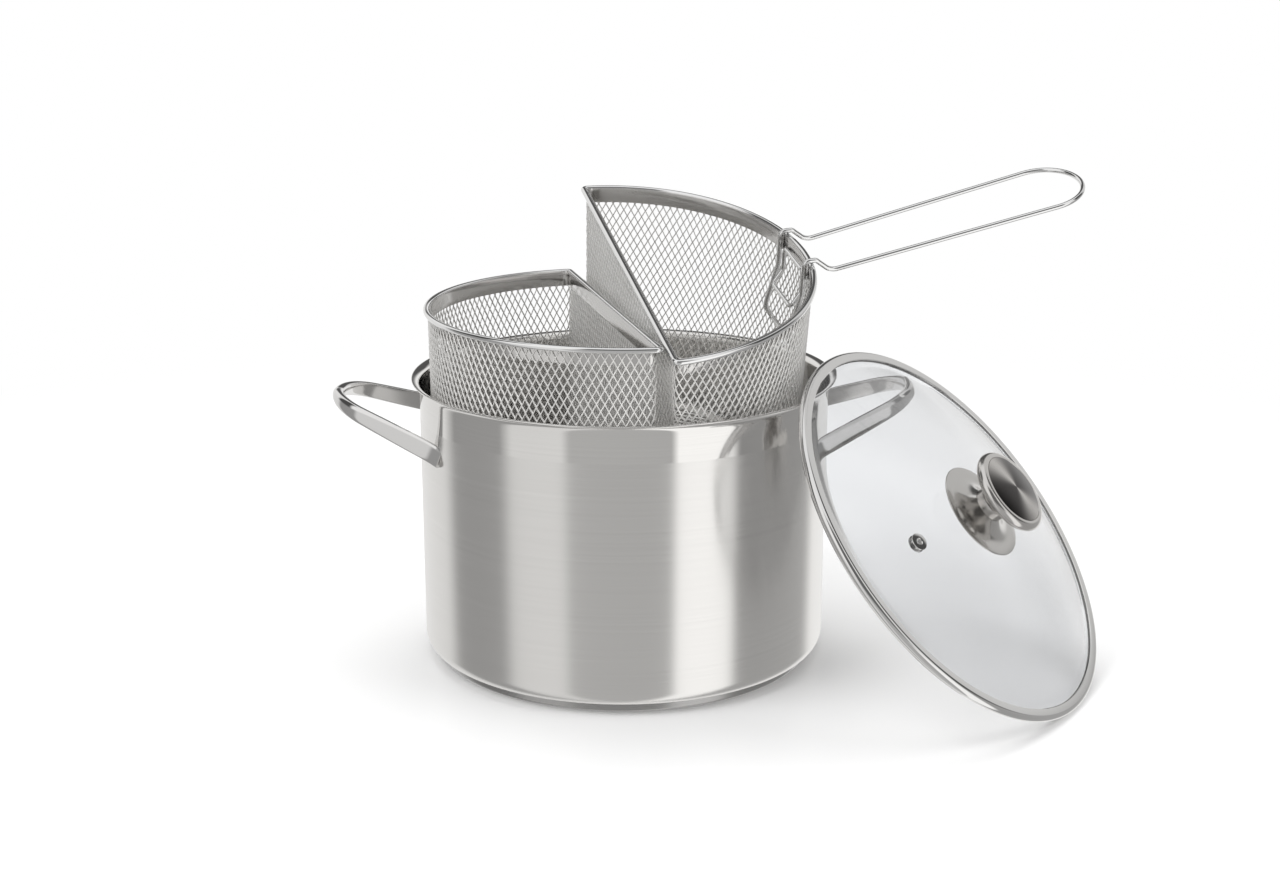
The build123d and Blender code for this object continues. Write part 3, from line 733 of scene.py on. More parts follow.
@dataclass
class Pot:
    """Drawn steel vessel with its lip, capsule base and two welded loop handles.

    Attributes:
        radius: outer radius of the wall.
        height: height of the lip over the floor that the pot stands on.
        corner: outer radius of the bend from floor to wall.
        lip_bend: radius at which the wall bends out to the lip.
        lip_edge: how far the lip runs on after the bend.
        lip_lead: how far below the bend the wall's last ring stands.
        base_height: height of the vessel's underside.
        cap_edge: radius of the base cap's foot.
        polished: height of the smooth band below the lip.
        polish_blend: half the height over which the band begins.
        weld_half_spacing: half the distance between a loop's two welds.
        loop_reach: how far a loop reaches out from the line through its welds.
        loop_rise: how steeply it rises, in degrees.
        loop_radius: radius of the middle line at its tip.
        loop_bend_out: how far out from the weld line its legs bend away from the wall.
        loop_bend_in: how far inside the weld they do.
        tip: diameter of the loop's section at its tip.
        strap: thickness of the section at the weld.
        strap_height: height of the section at the weld.
        strap_power: squareness of the section at the weld: 1 is an ellipse, 0 a box.
        handle_turn: how far both loops are turned about Z, in degrees.
        handle_sharp: edges of a loop that turn by more degrees than this stay crisp.
    """

    radius: float = 120.0
    height: float = 168.0
    wall: float = 0.8
    corner: float = 8.0
    lip_bend: float = 3.8
    lip_edge: float = 0.4
    lip_lead: float = 1.0
    base_height: float = 5.0
    cap_height: float = 4.2
    cap_wall: float = 0.5
    cap_edge: float = 1.5
    polished: float = 22.0
    polish_blend: float = 0.2
    polish_roughness: float = 0.08
    weld_half_spacing: float = 58.1
    weld_height: float = 132.5
    loop_reach: float = 70.9
    loop_rise: float = 21.0
    loop_radius: float = 35.3
    loop_bend_out: float = 6.0
    loop_bend_in: float = 5.0
    loop_bend_radius: float = 40.0
    tip: float = 7.0
    strap: float = 3.2
    strap_height: float = 11.0
    strap_power: float = 0.35
    handle_turn: float = 1.2
    handle_sharp: float = 70.0
    turned_steps: int = 256
    leg_steps: int = 14
    tip_steps: int = 36
    section_steps: int = 48

    @property
    def lip_radius(self) -> float:
        """Outermost radius of the lip."""
        return self.radius + self.lip_bend + self.lip_edge + self.wall / 2

    @property
    def bend_height(self) -> float:
        """Height at which the wall starts to bend into the lip."""
        return self.height - self.wall - self.lip_bend

    def vessel(self) -> Surface:
        """Floor, wall and lip: the profile offset by the sheet's thickness, turned about Z.

        Returns:
            Points and quads.
        """
        foot = (self.radius - self.corner, self.base_height + self.corner)
        bend = (self.radius + self.lip_bend, self.bend_height)
        edge = (self.lip_radius - self.wall / 2, self.height - self.wall / 2)
        lead = self.bend_height - self.lip_lead
        profile = [
            np.array([[0, self.base_height]]),
            arc(foot, self.corner, -90, 0, 12),
            np.array([[self.radius, self.bend_height - self.polished], [self.radius, lead]]),
            arc(bend, self.lip_bend, 180, 90, 10),
            arc(edge, self.wall / 2, -90, 90, 8),
            arc(bend, self.lip_bend + self.wall, 90, 180, 10),
            np.array([[self.radius - self.wall, lead]]),
            arc(foot, self.corner - self.wall, 0, -90, 12),
            np.array([[0, self.base_height + self.wall]]),
        ]
        return revolved(np.concatenate(profile), self.turned_steps)

    def cap(self) -> Surface:
        """Base cap with a rounded foot, turned about Z.

        Returns:
            Points and quads.
        """
        outer = self.radius - self.corner
        inner = outer - self.cap_wall
        top, floor = self.cap_height, self.cap_wall
        profile = [
            np.array([[0, 0]]),
            arc((outer - self.cap_edge, self.cap_edge), self.cap_edge, -90, 0, 8),
            np.array([[outer, top], [inner, top], [inner, floor], [0, floor]]),
        ]
        return revolved(np.concatenate(profile), self.turned_steps)

    def handle_plan(self) -> Array:
        """Half of the loop's middle line seen from above, from the weld to the tip.

        A leg runs straight from its bend at the wall to where it touches the tip's circle: its
        direction is that of the circle's centre plus asin(radius / distance).

        Returns:
            Points in the loop's plane, X outwards and Y along the wall.
        """
        centre = np.array([self.loop_reach - self.tip / 2 - self.loop_radius, 0.0])
        bend = np.array([self.loop_bend_out, self.weld_half_spacing - self.loop_bend_in])
        foot = np.array([-self.strap / 4, self.weld_half_spacing + self.strap / 4])
        aim = centre - bend
        distance = math.hypot(*aim)
        leg_turn = math.atan2(aim[1], aim[0]) + math.asin(self.loop_radius / distance)
        leg = math.sqrt(distance ** 2 - self.loop_radius ** 2)
        touch = bend + leg * np.array([math.cos(leg_turn), math.sin(leg_turn)])
        bent = rounded_path(np.array([foot, bend, touch]), [self.loop_bend_radius])
        shares = np.linspace(0, 1, self.leg_steps)[1:-1, None]
        start = math.degrees(math.atan2(touch[1], touch[0] - centre[0]))
        return np.concatenate([
            bent[:-1],
            bent[-2] + (bent[-1] - bent[-2]) * shares,
            arc((centre[0], 0.0), self.loop_radius, start, 0, self.tip_steps),
        ])

    def handle(self, turn: float) -> Surface:
        """Loop handle: straight legs, tangent to a round tip, that bend outwards to lie on the wall.

        The roundness runs from 0 at the weld to 1 at the tip with the square of the way. With it the
        section runs from a tall strap, (|cos a|^p, |sin a|^p) times its half sides with p the strap's
        power, to a circle. Points that would lie inside the wall are drawn out to its surface.

        Args:
            turn: where the handle points, in degrees.

        Returns:
            Points and quads.
        """
        half = self.handle_plan()
        way = np.concatenate([[0], np.cumsum(np.linalg.norm(np.diff(half, axis=0), axis=1))])
        roundness = (way / way[-1]) ** 2
        roundness = np.concatenate([roundness, roundness[-2::-1]])[:, None]
        plan = np.concatenate([half, half[-2::-1] * (1, -1)])
        path = np.column_stack([plan, np.zeros(len(plan))])
        angles = np.arange(self.section_steps) * FULL_TURN / self.section_steps
        power = self.strap_power + (1 - self.strap_power) * roundness
        thick = self.strap + (self.tip - self.strap) * roundness
        tall = self.strap_height + (self.tip - self.strap_height) * roundness
        sections = np.stack([
            np.sign(share) * np.abs(share) ** power * side / 2
            for share, side in ((np.cos(angles), tall), (np.sin(angles), thick))
        ], 2)
        points, faces = swept(path, sections, False)
        weld_line = math.sqrt(self.radius ** 2 - self.weld_half_spacing ** 2)
        slope = Place(turn_about("y", -self.loop_rise), np.array([weld_line, 0.0, self.weld_height]))
        points = slope.put(points)
        out = np.hypot(points[:, 0], points[:, 1])
        points[:, :2] *= np.maximum(1.0, (self.radius - self.wall / 4) / out)[:, None]
        return points @ turn_about("z", turn).T, faces

    def build(self, finishes: Finishes) -> None:
        """Makes and dresses the pot's pieces.

        Args:
            finishes: the built materials.
        """
        for name, surface, finish, slot, node, sharp in (
            ("pot_vessel", self.vessel(), Finish.WALL, "pot_steel", "pot_body", SHARP),
            ("pot_base_cap", self.cap(), Finish.BASE, "base_steel", "base_cap", SHARP),
            ("side_handle_right_loop", self.handle(self.handle_turn), Finish.POLISHED, "handle_steel",
             "side_handle_right", self.handle_sharp),
            ("side_handle_left_loop", self.handle(self.handle_turn + 180), Finish.POLISHED, "handle_steel",
             "side_handle_left", self.handle_sharp),
        ):
            make_piece(name, surface, Place(), Body.POT, finishes[finish], (node,), sharp)
        # The core is dressed near black: painted shade in the seam under the vessel.
        dress(finishes, "base_core", Finish.CORE)
        self.polish_band(finishes[Finish.WALL])

    def polish_band(self, material: bpy.types.Material) -> None:
        """Makes the wall smooth above the brushing: its roughness changes with the height.

        Args:
            material: the wall's material.
        """
        wiring = Wiring(material.node_tree)
        shader = material.node_tree.nodes["Principled BSDF"]
        height = wiring.node("ShaderNodeSeparateXYZ", {"Vector": wiring.coordinates()}).outputs["Z"]
        start, blend = self.height - self.polished, self.polish_blend
        above = wiring.span(height, (start - blend) * MM, (start + blend) * MM)
        brushed = shader.inputs["Roughness"].links[0].from_socket
        wiring.fill(shader, {"Roughness": wiring.mix(above, brushed, self.polish_roughness, "FLOAT")})


# Baskets

@dataclass(frozen=True)
class Outline:
    """Closed outline in the plane.

    Attributes:
        points: evenly spaced points.
        normals: outward normals at them.
        length: the way once round.
    """

    points: Array
    normals: Array
    length: float

    def carry(self, section: Array) -> Surface:
        """Section carried round the outline: (point + normal times section x, section y).

        Args:
            section: closed outline of (outwards, height) points.

        Returns:
            Points and quads.
        """
        count, sides = len(self.points), len(section)
        points = np.concatenate([
            self.points[:, None] + self.normals[:, None] * section[None, :, :1],
            np.broadcast_to(section[None, :, 1:], (count, sides, 1)),
        ], 2)
        return points.reshape(-1, 3), grid_faces(count, sides, True, True)

    def at(self, way: Array, values: Array) -> Array:
        """Values of the points or normals read between them, at distances round the outline.

        Args:
            way: the distances.
            values: one pair for each point of the outline.

        Returns:
            A pair for each distance.
        """
        marks = np.arange(len(values) + 1) * self.length / len(values)
        closed = np.concatenate([values, values[:1]])
        return np.stack([np.interp(np.mod(way, self.length), marks, closed[:, k]) for k in (0, 1)], 1)


@dataclass
class Basket:
    """Half round strainer basket; its own frame has Z up, and its origin where the arc's axis meets the rim.

    Attributes:
        side: the body that it makes up.
        radius: radius of the round rim wire's centre line.
        flat: place of the straight rim wire's centre line along X.
        band: thickness of the steel band inside the wires.
        band_rise: how far the band stands up over the wires' centre.
        net_thickness: thickness that the net takes up in a wall.
        net_sheet: thickness of the strands' sheet.
        depth: how far the floor lies below the wires' centre.
        taper: how far the walls lean inwards, in degrees.
        corner: radius of the roll from wall to floor.
        net_corner: radius of the upright corners of the net.
        mesh_width: width of a diamond.
        mesh_height: its length.
        strand: width of a strand.
        twist: how far a strand's corners stand off the sheet.
        floor_rim: width of the plain strip round the floor.
        floor_overlap: how far the strip reaches out under the roll.
        bracket_top: how far the bracket's upper bar lies below the wires' centre.
        bracket_leg: length of its straight legs.
        bracket_bottom: how far its lower bar lies below the wires' centre.
        bracket_kink: how far the lower bar stands inwards.
        bracket_turn: where it sits on the arc, in degrees from X.
    """

    side: Body
    place: Place
    radius: float = 112.0
    flat: float = 4.8
    wire: float = 3.4
    rim_corner: float = 2.2
    band: float = 0.8
    band_height: float = 9.5
    band_rise: float = 1.0
    band_corner: float = 3.0
    net_thickness: float = 0.8
    net_sheet: float = 0.5
    net_sharp: float = 25.0
    depth: float = 142.0
    taper: float = 0.8
    corner: float = 8.0
    net_corner: float = 4.0
    mesh_width: float = 4.5
    mesh_height: float = 8.0
    strand: float = 0.62
    twist: float = 0.34
    floor_rim: float = 6.0
    floor_overlap: float = 1.5
    floor_corner: float = 10.0
    bracket_wire: float = 2.6
    bracket_width: float = 31.0
    bracket_top: float = 5.0
    bracket_leg: float = 14.0
    bracket_bottom: float = 28.0
    bracket_kink: float = 6.0
    bracket_bend: float = 3.0
    bracket_turn: float = 2.0
    round_steps: int = 300
    corner_steps: int = 40
    straight_steps: int = 60
    rim_steps: int = 520
    band_steps: int = 420
    net_steps: int = 1600
    frame_steps: int = 360
    bend_steps: int = 8
    bracket_sides: int = 14

    @property
    def name(self) -> str:
        """left or right."""
        return self.side.value.removeprefix("basket_")

    @property
    def slope(self) -> float:
        """How far the walls draw in with each millimetre of depth."""
        return math.tan(math.radians(self.taper))

    @property
    def floor_inset(self) -> float:
        """How far the floor's edge lies inside the rim wire's centre line."""
        return self.wire / 2 + self.slope * self.depth + self.corner

    def face_inside(self, half_width: float) -> float:
        """Place along X of the band's inner face at its lower edge, where it is half_width off the middle."""
        drawn = (self.band_height - self.band_rise) * self.slope
        return math.sqrt((self.radius - self.wire / 2 - self.band) ** 2 - half_width ** 2) - drawn

    def outline(self, inset: float, corner: float, steps: int) -> Outline:
        """Half round outline: an arc, the straight side and two rounded corners between them.

        Each corner's arc touches the large circle from inside and the straight line, so its centre
        lies at the line plus corner, on a circle of the radius less corner.

        Args:
            inset: distance inside the rim wire's centre line.
            corner: radius of the two corners.
            steps: number of evenly spaced points.

        Returns:
            The outline, starting at the middle of the arc.
        """
        big, line = self.radius - inset, self.flat + inset
        cx = line + corner
        cy = math.sqrt((big - corner) ** 2 - cx ** 2)
        end = math.degrees(math.atan2(cy, cx))
        upper = np.concatenate([
            arc((0, 0), big, 0, end, self.round_steps),
            arc((cx, cy), corner, end, 180, self.corner_steps)[1:],
            np.linspace((line, cy), (line, 0), self.straight_steps)[1:],
        ])
        closed = np.concatenate([upper, upper[-2::-1] * (1, -1)])
        length = np.concatenate([[0], np.cumsum(np.linalg.norm(np.diff(closed, axis=0), axis=1))])
        at = np.linspace(0, length[-1], steps, endpoint=False)
        points = np.stack([np.interp(at, length, closed[:, k]) for k in (0, 1)], 1)
        ahead = unit(np.roll(points, -1, 0) - np.roll(points, 1, 0))
        return Outline(points, np.stack([ahead[:, 1], -ahead[:, 0]], 1), float(length[-1]))

    def rim(self) -> Surface:
        """Rim wire: a circle carried round the half round outline with tight corners.

        Returns:
            Points and quads.
        """
        loop = self.outline(0.0, self.rim_corner, self.rim_steps).points
        path = np.column_stack([loop, np.zeros(len(loop))])
        return swept(path, circle_section(self.wire), True)

    def rim_sheet(self) -> Surface:
        """Band inside the wire: a thin rounded rectangle, sheared by the walls' taper, round the outline.

        Returns:
            Points and quads.
        """
        outline = self.outline(self.wire / 2 + self.band / 2, self.band_corner, self.band_steps)
        low, high = self.band_rise - self.band_height, self.band_rise
        half = self.band / 2
        upper, lower = arc((0, high - half), half, 0, 180, 7), arc((0, low + half), half, 180, 360, 7)
        section = np.concatenate([upper, lower])
        section[:, 0] += self.slope * section[:, 1]
        return outline.carry(section)

    def cells(self, across: Array, along: Array, pitch: float, rise: float) -> tuple[Array, ...]:
        """Expanded metal: diamonds round given middles, each with a smaller diamond cut out.

        A cell's four strands are the quads between its outer and inner diamond. The inner diamond is
        the outer one times 1 - strand / d, with d the distance between a middle and a side, doubled.
        Its top corner is lifted off the sheet and its bottom corner pressed in, which gives the
        twist of expanded metal.

        Args:
            across: the middles' places across.
            along: the middles' places along.
            pitch: width of a diamond.
            rise: half its length.

        Returns:
            Each corner's place across, along and off the sheet, and quads.
        """
        outer = np.array([[pitch / 2, 0], [0, -rise], [-pitch / 2, 0], [0, rise]])
        keep = 1 - self.strand / (pitch * rise / math.hypot(pitch / 2, rise))
        corners = np.concatenate([outer, outer * keep])
        lift = np.array([0, 0, 0, 0, 0, self.twist, 0, -self.twist])
        first = (np.arange(across.size) * len(corners))[:, None, None]
        ring = np.array([[k, (k + 1) % 4, 4 + (k + 1) % 4, 4 + k] for k in range(4)])
        return (
            (across.reshape(-1, 1) + corners[:, 0]).ravel(),
            (along.reshape(-1, 1) + corners[:, 1]).ravel(),
            np.tile(lift, across.size),
            (first + ring).reshape(-1, 4),
        )

    def wall_net(self) -> Surface:
        """Expanded metal wall: cells that tile the unrolled wall, bent round the outline and the foot.

        (u, v, w) maps to outline(u) less what taper and foot corner draw in at v, plus w along the
        surface's normal.

        Returns:
            Points and quads.
        """
        outline = self.outline(self.wire / 2 - self.net_thickness / 2, self.net_corner, self.net_steps)
        columns = round(outline.length / self.mesh_width)
        pitch = outline.length / columns
        top = -self.wire / 2
        straight = self.depth + top - self.corner
        unrolled = straight + self.corner * math.pi / 2
        rows = round(unrolled / self.mesh_height * 2)
        rise = unrolled / rows
        i, j = np.meshgrid(np.arange(columns), np.arange(rows + 1), indexing="ij")
        u, v, w, faces = self.cells((i + 0.5 * (j % 2)) * pitch, j * rise, pitch, rise)
        v = np.clip(v, 0, unrolled)
        wall, normals = outline.at(u, outline.points), unit(outline.at(u, outline.normals))
        bent = np.clip((v - straight) / self.corner, 0, None)
        flat = np.minimum(v, straight)
        drop = flat + self.corner * np.sin(bent)
        drawn = self.slope * flat + self.corner * (1 - np.cos(bent))
        across = w * np.cos(bent) - drawn
        return np.column_stack([wall + normals * across[:, None], top - drop - w * np.sin(bent)]), faces

    def floor_net(self) -> Surface:
        """Flat expanded metal floor: the same cells on a plane, kept where they lie inside the outline.

        Returns:
            Points and quads.
        """
        inset = self.floor_inset + self.floor_rim / 2
        big, line = self.radius - inset, self.flat + inset
        pitch, rise = self.mesh_width, self.mesh_height / 2
        columns, rows = int(2 * big / pitch) + 2, int(big / rise) + 2
        i, j = np.meshgrid(np.arange(-columns // 2, columns // 2), np.arange(rows), indexing="ij")
        y = (i + 0.5 * (j % 2)) * pitch
        x = line + j * rise
        inside = (np.hypot(x, y) < big) & (x >= line)
        y, x, lift, faces = self.cells(y[inside], x[inside], pitch, rise)
        return np.column_stack([x, y, lift - self.depth + self.net_thickness / 2]), faces[:, [0, 3, 2, 1]]

    def floor_strip(self) -> Surface:
        """Plain strip that frames the floor's net, between the wall's foot and the cells.

        Returns:
            Points and quads.
        """
        outline = self.outline(self.floor_inset - self.floor_overlap, self.floor_corner, self.frame_steps)
        high = self.net_thickness - self.depth
        low = high - self.net_thickness / 2
        return outline.carry(np.array([[0, low], [0, high], [-self.floor_rim, high], [-self.floor_rim, low]]))

    def bracket(self) -> Surface:
        """Handle bracket: a wire frame with straight legs that kink inwards to its lower bar.

        Returns:
            Points and quads.
        """
        half = self.bracket_width / 2
        x = self.face_inside(half) - self.bracket_wire / 2
        top, kink = -self.bracket_top, -self.bracket_top - self.bracket_leg
        low, low_x = -self.bracket_bottom, x - self.bracket_kink
        side = np.array([[x, 0, top], [x, half, top], [x, half, kink], [low_x, half, low], [low_x, 0, low]])
        path = rounded_path(side, [self.bracket_bend] * 3, self.bend_steps)
        loop = np.concatenate([path, path[-2:0:-1] * (1, -1, 1)])
        points, faces = swept(loop, circle_section(self.bracket_wire, self.bracket_sides), True)
        return points @ turn_about("z", self.bracket_turn).T, faces

    def build(self, finishes: Finishes) -> None:
        """Makes and dresses the basket's pieces.

        Args:
            finishes: the built materials.
        """
        side = self.name + "_"
        for name, surface, finish, slot, nodes in (
            ("rim_wire", self.rim(), Finish.WIRE, "rim_wire", ("rim_arc", "rim_bar")),
            ("rim_sheet", self.rim_sheet(), Finish.BAND, "rim_band", ("rim_band",)),
            ("wall_net", self.wall_net(), Finish.NET, "expanded_mesh", ("arc_mesh", "flat_mesh")),
            ("floor_net", self.floor_net(), Finish.NET, "expanded_mesh", ("floor_mesh",)),
            ("floor_frame", self.floor_strip(), Finish.NET, "expanded_mesh", ()),
            ("bracket_frame", self.bracket(), Finish.WIRE, "bracket_wire", ("handle_bracket",)),
        ):
            net = name.endswith("_net")
            nodes = tuple(side + node for node in nodes)
            sharp = self.net_sharp if net else SHARP
            piece = make_piece(side + name, surface, self.place, self.side, finishes[finish], nodes,
                               sharp, solid=not net)
            if net:
                sheet = piece.modifiers.new("sheet", "SOLIDIFY")
                sheet.thickness = self.net_sheet * MM
                sheet.offset = 0.0


@dataclass
class WireHandle:
    """Lift-off handle of one bent wire, in the right basket's frame.

    Attributes:
        spacing: distance between its two wires at the rim.
        end_width: width of its rounded end.
        reach: how far beyond the rim the middle of its round end lies, along the grip.
        rise: how steeply the grip rises, in degrees.
        hump: how far beyond the rim wire's centre the wires run level.
        dip: how far beyond it they bend upwards again.
        dip_drop: how far below the wires' centre that bend lies.
        leg: how far below the rim the legs are straight.
        knee_drop: how far below the rim they bend back outwards.
        knee_inset: how far the knee stands inwards.
        bar_return: how far the bar stands outwards from the knee.
        bar_drop: how far below the rim the bar lies.
        bend: radius of the tight bends.
        long_bend: radius of the soft ones.
        gap: clearance to the basket.
        grip_round_share: radius of the end's corners as a share of half its width.
    """

    place: Place
    basket: Basket
    wire: float = 3.0
    spacing: float = 41.0
    end_width: float = 50.0
    reach: float = 153.4
    rise: float = 11.4
    hump: float = 2.6
    dip: float = 12.0
    dip_drop: float = 3.8
    leg: float = 17.5
    knee_drop: float = 45.0
    knee_inset: float = 6.7
    bar_return: float = 5.0
    bar_drop: float = 53.0
    bend: float = 3.0
    long_bend: float = 9.0
    gap: float = 0.3
    grip_round_share: float = 0.97
    bend_steps: int = 14
    sides: int = 18

    def loop(self) -> Surface:
        """Bar, legs over the rim and rounded end: half the path, mirrored, with a round section.

        Returns:
            Points and quads.
        """
        basket, radius, half = self.basket, self.wire / 2, self.spacing / 2
        rise = math.radians(self.rise)
        rim_x = math.sqrt(basket.radius ** 2 - half ** 2)
        leg_x = basket.face_inside(half) - radius - self.gap
        top = basket.wire / 2 + radius + self.gap
        dip_x = rim_x + self.dip
        end_half = self.end_width / 2
        straight = self.reach - self.dip + end_half
        end_x = dip_x + straight * math.cos(rise)
        end_z = -self.dip_drop + straight * math.sin(rise)
        spread = (end_half - half) * self.dip / self.reach
        knee_x = leg_x - self.knee_inset
        foot_x = knee_x + self.bar_return
        side = np.array([
            [foot_x, 0, -self.bar_drop],
            [foot_x, half, -self.bar_drop],
            [knee_x, half, -self.knee_drop],
            [leg_x, half, -self.leg],
            [leg_x, half, top],
            [rim_x + self.hump, half, top],
            [dip_x, half + spread, -self.dip_drop],
            [end_x, end_half, end_z],
            [end_x, 0, end_z],
        ])
        radii = [self.bend, self.long_bend, self.long_bend, self.bend + self.gap, self.bend, self.long_bend,
                 end_half * self.grip_round_share]
        path = rounded_path(side, radii, self.bend_steps)
        whole = np.concatenate([path, path[-2:0:-1] * (1, -1, 1)])
        points, faces = swept(whole, circle_section(self.wire, self.sides), True)
        return points @ turn_about("z", basket.bracket_turn).T, faces

    def build(self, finishes: Finishes) -> None:
        """Makes the handle.

        Args:
            finishes: the built materials.
        """
        make_piece("basket_handle_wire", self.loop(), self.place, Body.HANDLE, finishes[Finish.WIRE],
                   ("wire_handle",))


# Lid

@dataclass
class Lid:
    """Glass lid with its rolled band, vent eyelet and knob; its own Z points away from the pot.

    Attributes:
        radius: outer radius of the band.
        glass: thickness of the pane.
        brim: how far inside the pane's edge the dome's middle surface meets the brim.
        crease_inset: how far inside the edge the pane's rings grow denser.
        crease_softness: width of the easing from dome to brim.
        rise: height of the dome's middle surface over the brim's.
        band: thickness of the rolled band's sheet.
        flange: how far the band reaches in over the glass.
        flange_ease: how much its upper edge is eased.
        skirt_inset: how far the locating skirt stands inside the pane's edge.
        vent_turn: where the vent sits, in degrees from X.
        base_diameter: diameter of the plate under the knob.
        base_height: how far the stem's foot stands over the dome.
        flare_diameter: diameter at which the plate starts to rise to the stem.
        flare_power: how hollow that rise is.
        cap_edge: radius of the cap's rounded edge.
        cone_power: how hollow the cap's underside is.
        recess: depth of the inlay's seat.
        ring: width of the cap's bare ring.
        crown: how far the inlay's middle stands over the ring.
        ease: size of the small eased edges.
        rays: highlight painted into the inlay's base colour.
    """

    place: Place
    radius: float = 120.2
    glass: float = 4.0
    brim: float = 7.6
    crease_inset: float = 32.6
    crease_softness: float = 0.55
    rise: float = 20.0
    band: float = 0.6
    band_gap: float = 0.1
    flange: float = 4.0
    flange_ease: float = 0.4
    skirt_inset: float = 0.8
    skirt_drop: float = 1.6
    vent_radius: float = 67.5
    vent_turn: float = 175.7
    vent_bore: float = 3.6
    vent_shank: float = 6.6
    vent_flange: float = 10.0
    vent_sheet: float = 0.7
    base_diameter: float = 57.0
    base_height: float = 5.0
    base_sheet: float = 0.8
    flare_diameter: float = 47.0
    flare_power: float = 2.3
    stem_diameter: float = 20.0
    stem_height: float = 12.0
    groove_width: float = 1.5
    groove_depth: float = 1.0
    cap_diameter: float = 50.0
    cap_height: float = 6.9
    cap_edge: float = 3.2
    cone_power: float = 1.25
    recess: float = 0.5
    ring: float = 4.6
    crown: float = 2.0
    inlay_gap: float = 0.05
    screw_bore: float = 5.0
    ease: float = 0.3
    pane_steps: int = 224
    vent_steps: int = 64
    knob_steps: int = 128
    cap_steps: int = 160
    dome_rings: int = 24
    brim_rings: int = 40
    flare_rings: int = 30
    cone_rings: int = 14
    crown_rings: int = 24
    rays: PaintedRays = PaintedRays()

    @property
    def glass_radius(self) -> float:
        """Radius of the pane to the middle of its rounded edge."""
        return self.radius - self.glass / 2 - self.band

    @property
    def dome(self) -> float:
        """Radius of the dome's middle surface."""
        foot = self.glass_radius - self.brim
        return (foot ** 2 + self.rise ** 2) / (2 * self.rise)

    @property
    def stem_foot(self) -> float:
        """Height of the stem's foot."""
        return self.rise + self.glass / 2 + self.base_height

    @property
    def stem_top(self) -> float:
        """Height of the stem's top."""
        return self.stem_foot + self.stem_height

    @property
    def cap_top(self) -> float:
        """Height of the cap's ring."""
        return self.stem_top + self.cap_height

    def face_at(self, radius: Array | float, side: float) -> Array | float:
        """Height of the dome's upper (+1) or lower (-1) face: the sphere's cap at a radius."""
        sphere = self.dome + side * self.glass / 2
        return self.rise - self.dome + np.sqrt(sphere ** 2 - np.asarray(radius) ** 2)

    def pane(self) -> Surface:
        """Domed pane: a sphere's cap that eases into a flat brim, with a rounded edge.

        The height of each face is the higher of cap and brim, eased over the crease by the smooth
        maximum (a + b + sqrt((a - b)^2 + s^2)) / 2.

        Returns:
            Points and quads.
        """
        half, outer = self.glass / 2, self.glass_radius
        crease = outer - self.crease_inset
        dome_radii = np.linspace(self.screw_bore / 2, crease, self.dome_rings)
        brim_radii = np.linspace(crease, outer, self.brim_rings)
        radii = np.concatenate([dome_radii, brim_radii[1:]])
        faces = []
        for side in (1.0, -1.0):
            sphere, brim = self.face_at(radii, side), side * half
            height = (sphere + brim + np.sqrt((sphere - brim) ** 2 + self.crease_softness ** 2)) / 2
            faces.append(np.stack([radii, height], 1))
        edge = arc((outer, 0), half, 90, -90, 12)[1:-1]
        return revolved(np.concatenate([faces[0], edge, faces[1][::-1]]), self.pane_steps)

    def band_roll(self) -> Surface:
        """Rolled band turned about Z: flange, bead, lower flange and locating skirt.

        Returns:
            Points and quads.
        """
        half, sheet, outer = self.glass / 2, self.band, self.glass_radius
        inner, skirt = outer - self.flange, outer - self.skirt_inset
        high, under = half + sheet, -half - sheet
        low = under - self.skirt_drop
        profile = np.concatenate([
            np.array([[inner, half + self.band_gap]]),
            arc((outer, 0), half, 90, -90, 12),
            np.array([[inner, -half], [inner, under], [skirt - sheet, under]]),
            np.array([[skirt - sheet, low], [skirt, low], [skirt, under]]),
            arc((outer, 0), high, -90, 90, 16),
            np.array([[inner + self.flange_ease, high], [inner, high - self.ease]]),
        ])
        return revolved(profile, self.pane_steps)

    def vent(self) -> Surface:
        """Flanged eyelet: a tube with two thin rounded flanges.

        Returns:
            Points and quads.
        """
        half, sheet, ease = self.glass / 2, self.vent_sheet, self.ease
        bore, shank, bead = self.vent_bore / 2, self.vent_shank / 2, (self.vent_flange - self.vent_sheet) / 2
        end = half + sheet
        profile = np.concatenate([
            np.array([[bore + ease, end], [bead, end]]),
            arc((bead, half + sheet / 2), sheet / 2, 90, -90, 6),
            np.array([[shank, half], [shank, -half]]),
            arc((bead, -half - sheet / 2), sheet / 2, 90, -90, 6),
            np.array([[bore + ease, -end], [bore, -end + ease], [bore, end - ease]]),
        ])
        return revolved(profile, self.vent_steps)

    def vent_place(self) -> Place:
        """Place of the vent: on the dome, its axis along the sphere's radius.

        Returns:
            The piece's place.
        """
        lean = math.asin(self.vent_radius / self.dome)
        axes = turn_about("z", self.vent_turn) @ turn_about("y", math.degrees(lean))
        height = self.rise - self.dome * (1 - math.cos(lean))
        turn = math.radians(self.vent_turn)
        origin = np.array([self.vent_radius * math.cos(turn), self.vent_radius * math.sin(turn), height])
        return Place(axes, origin)

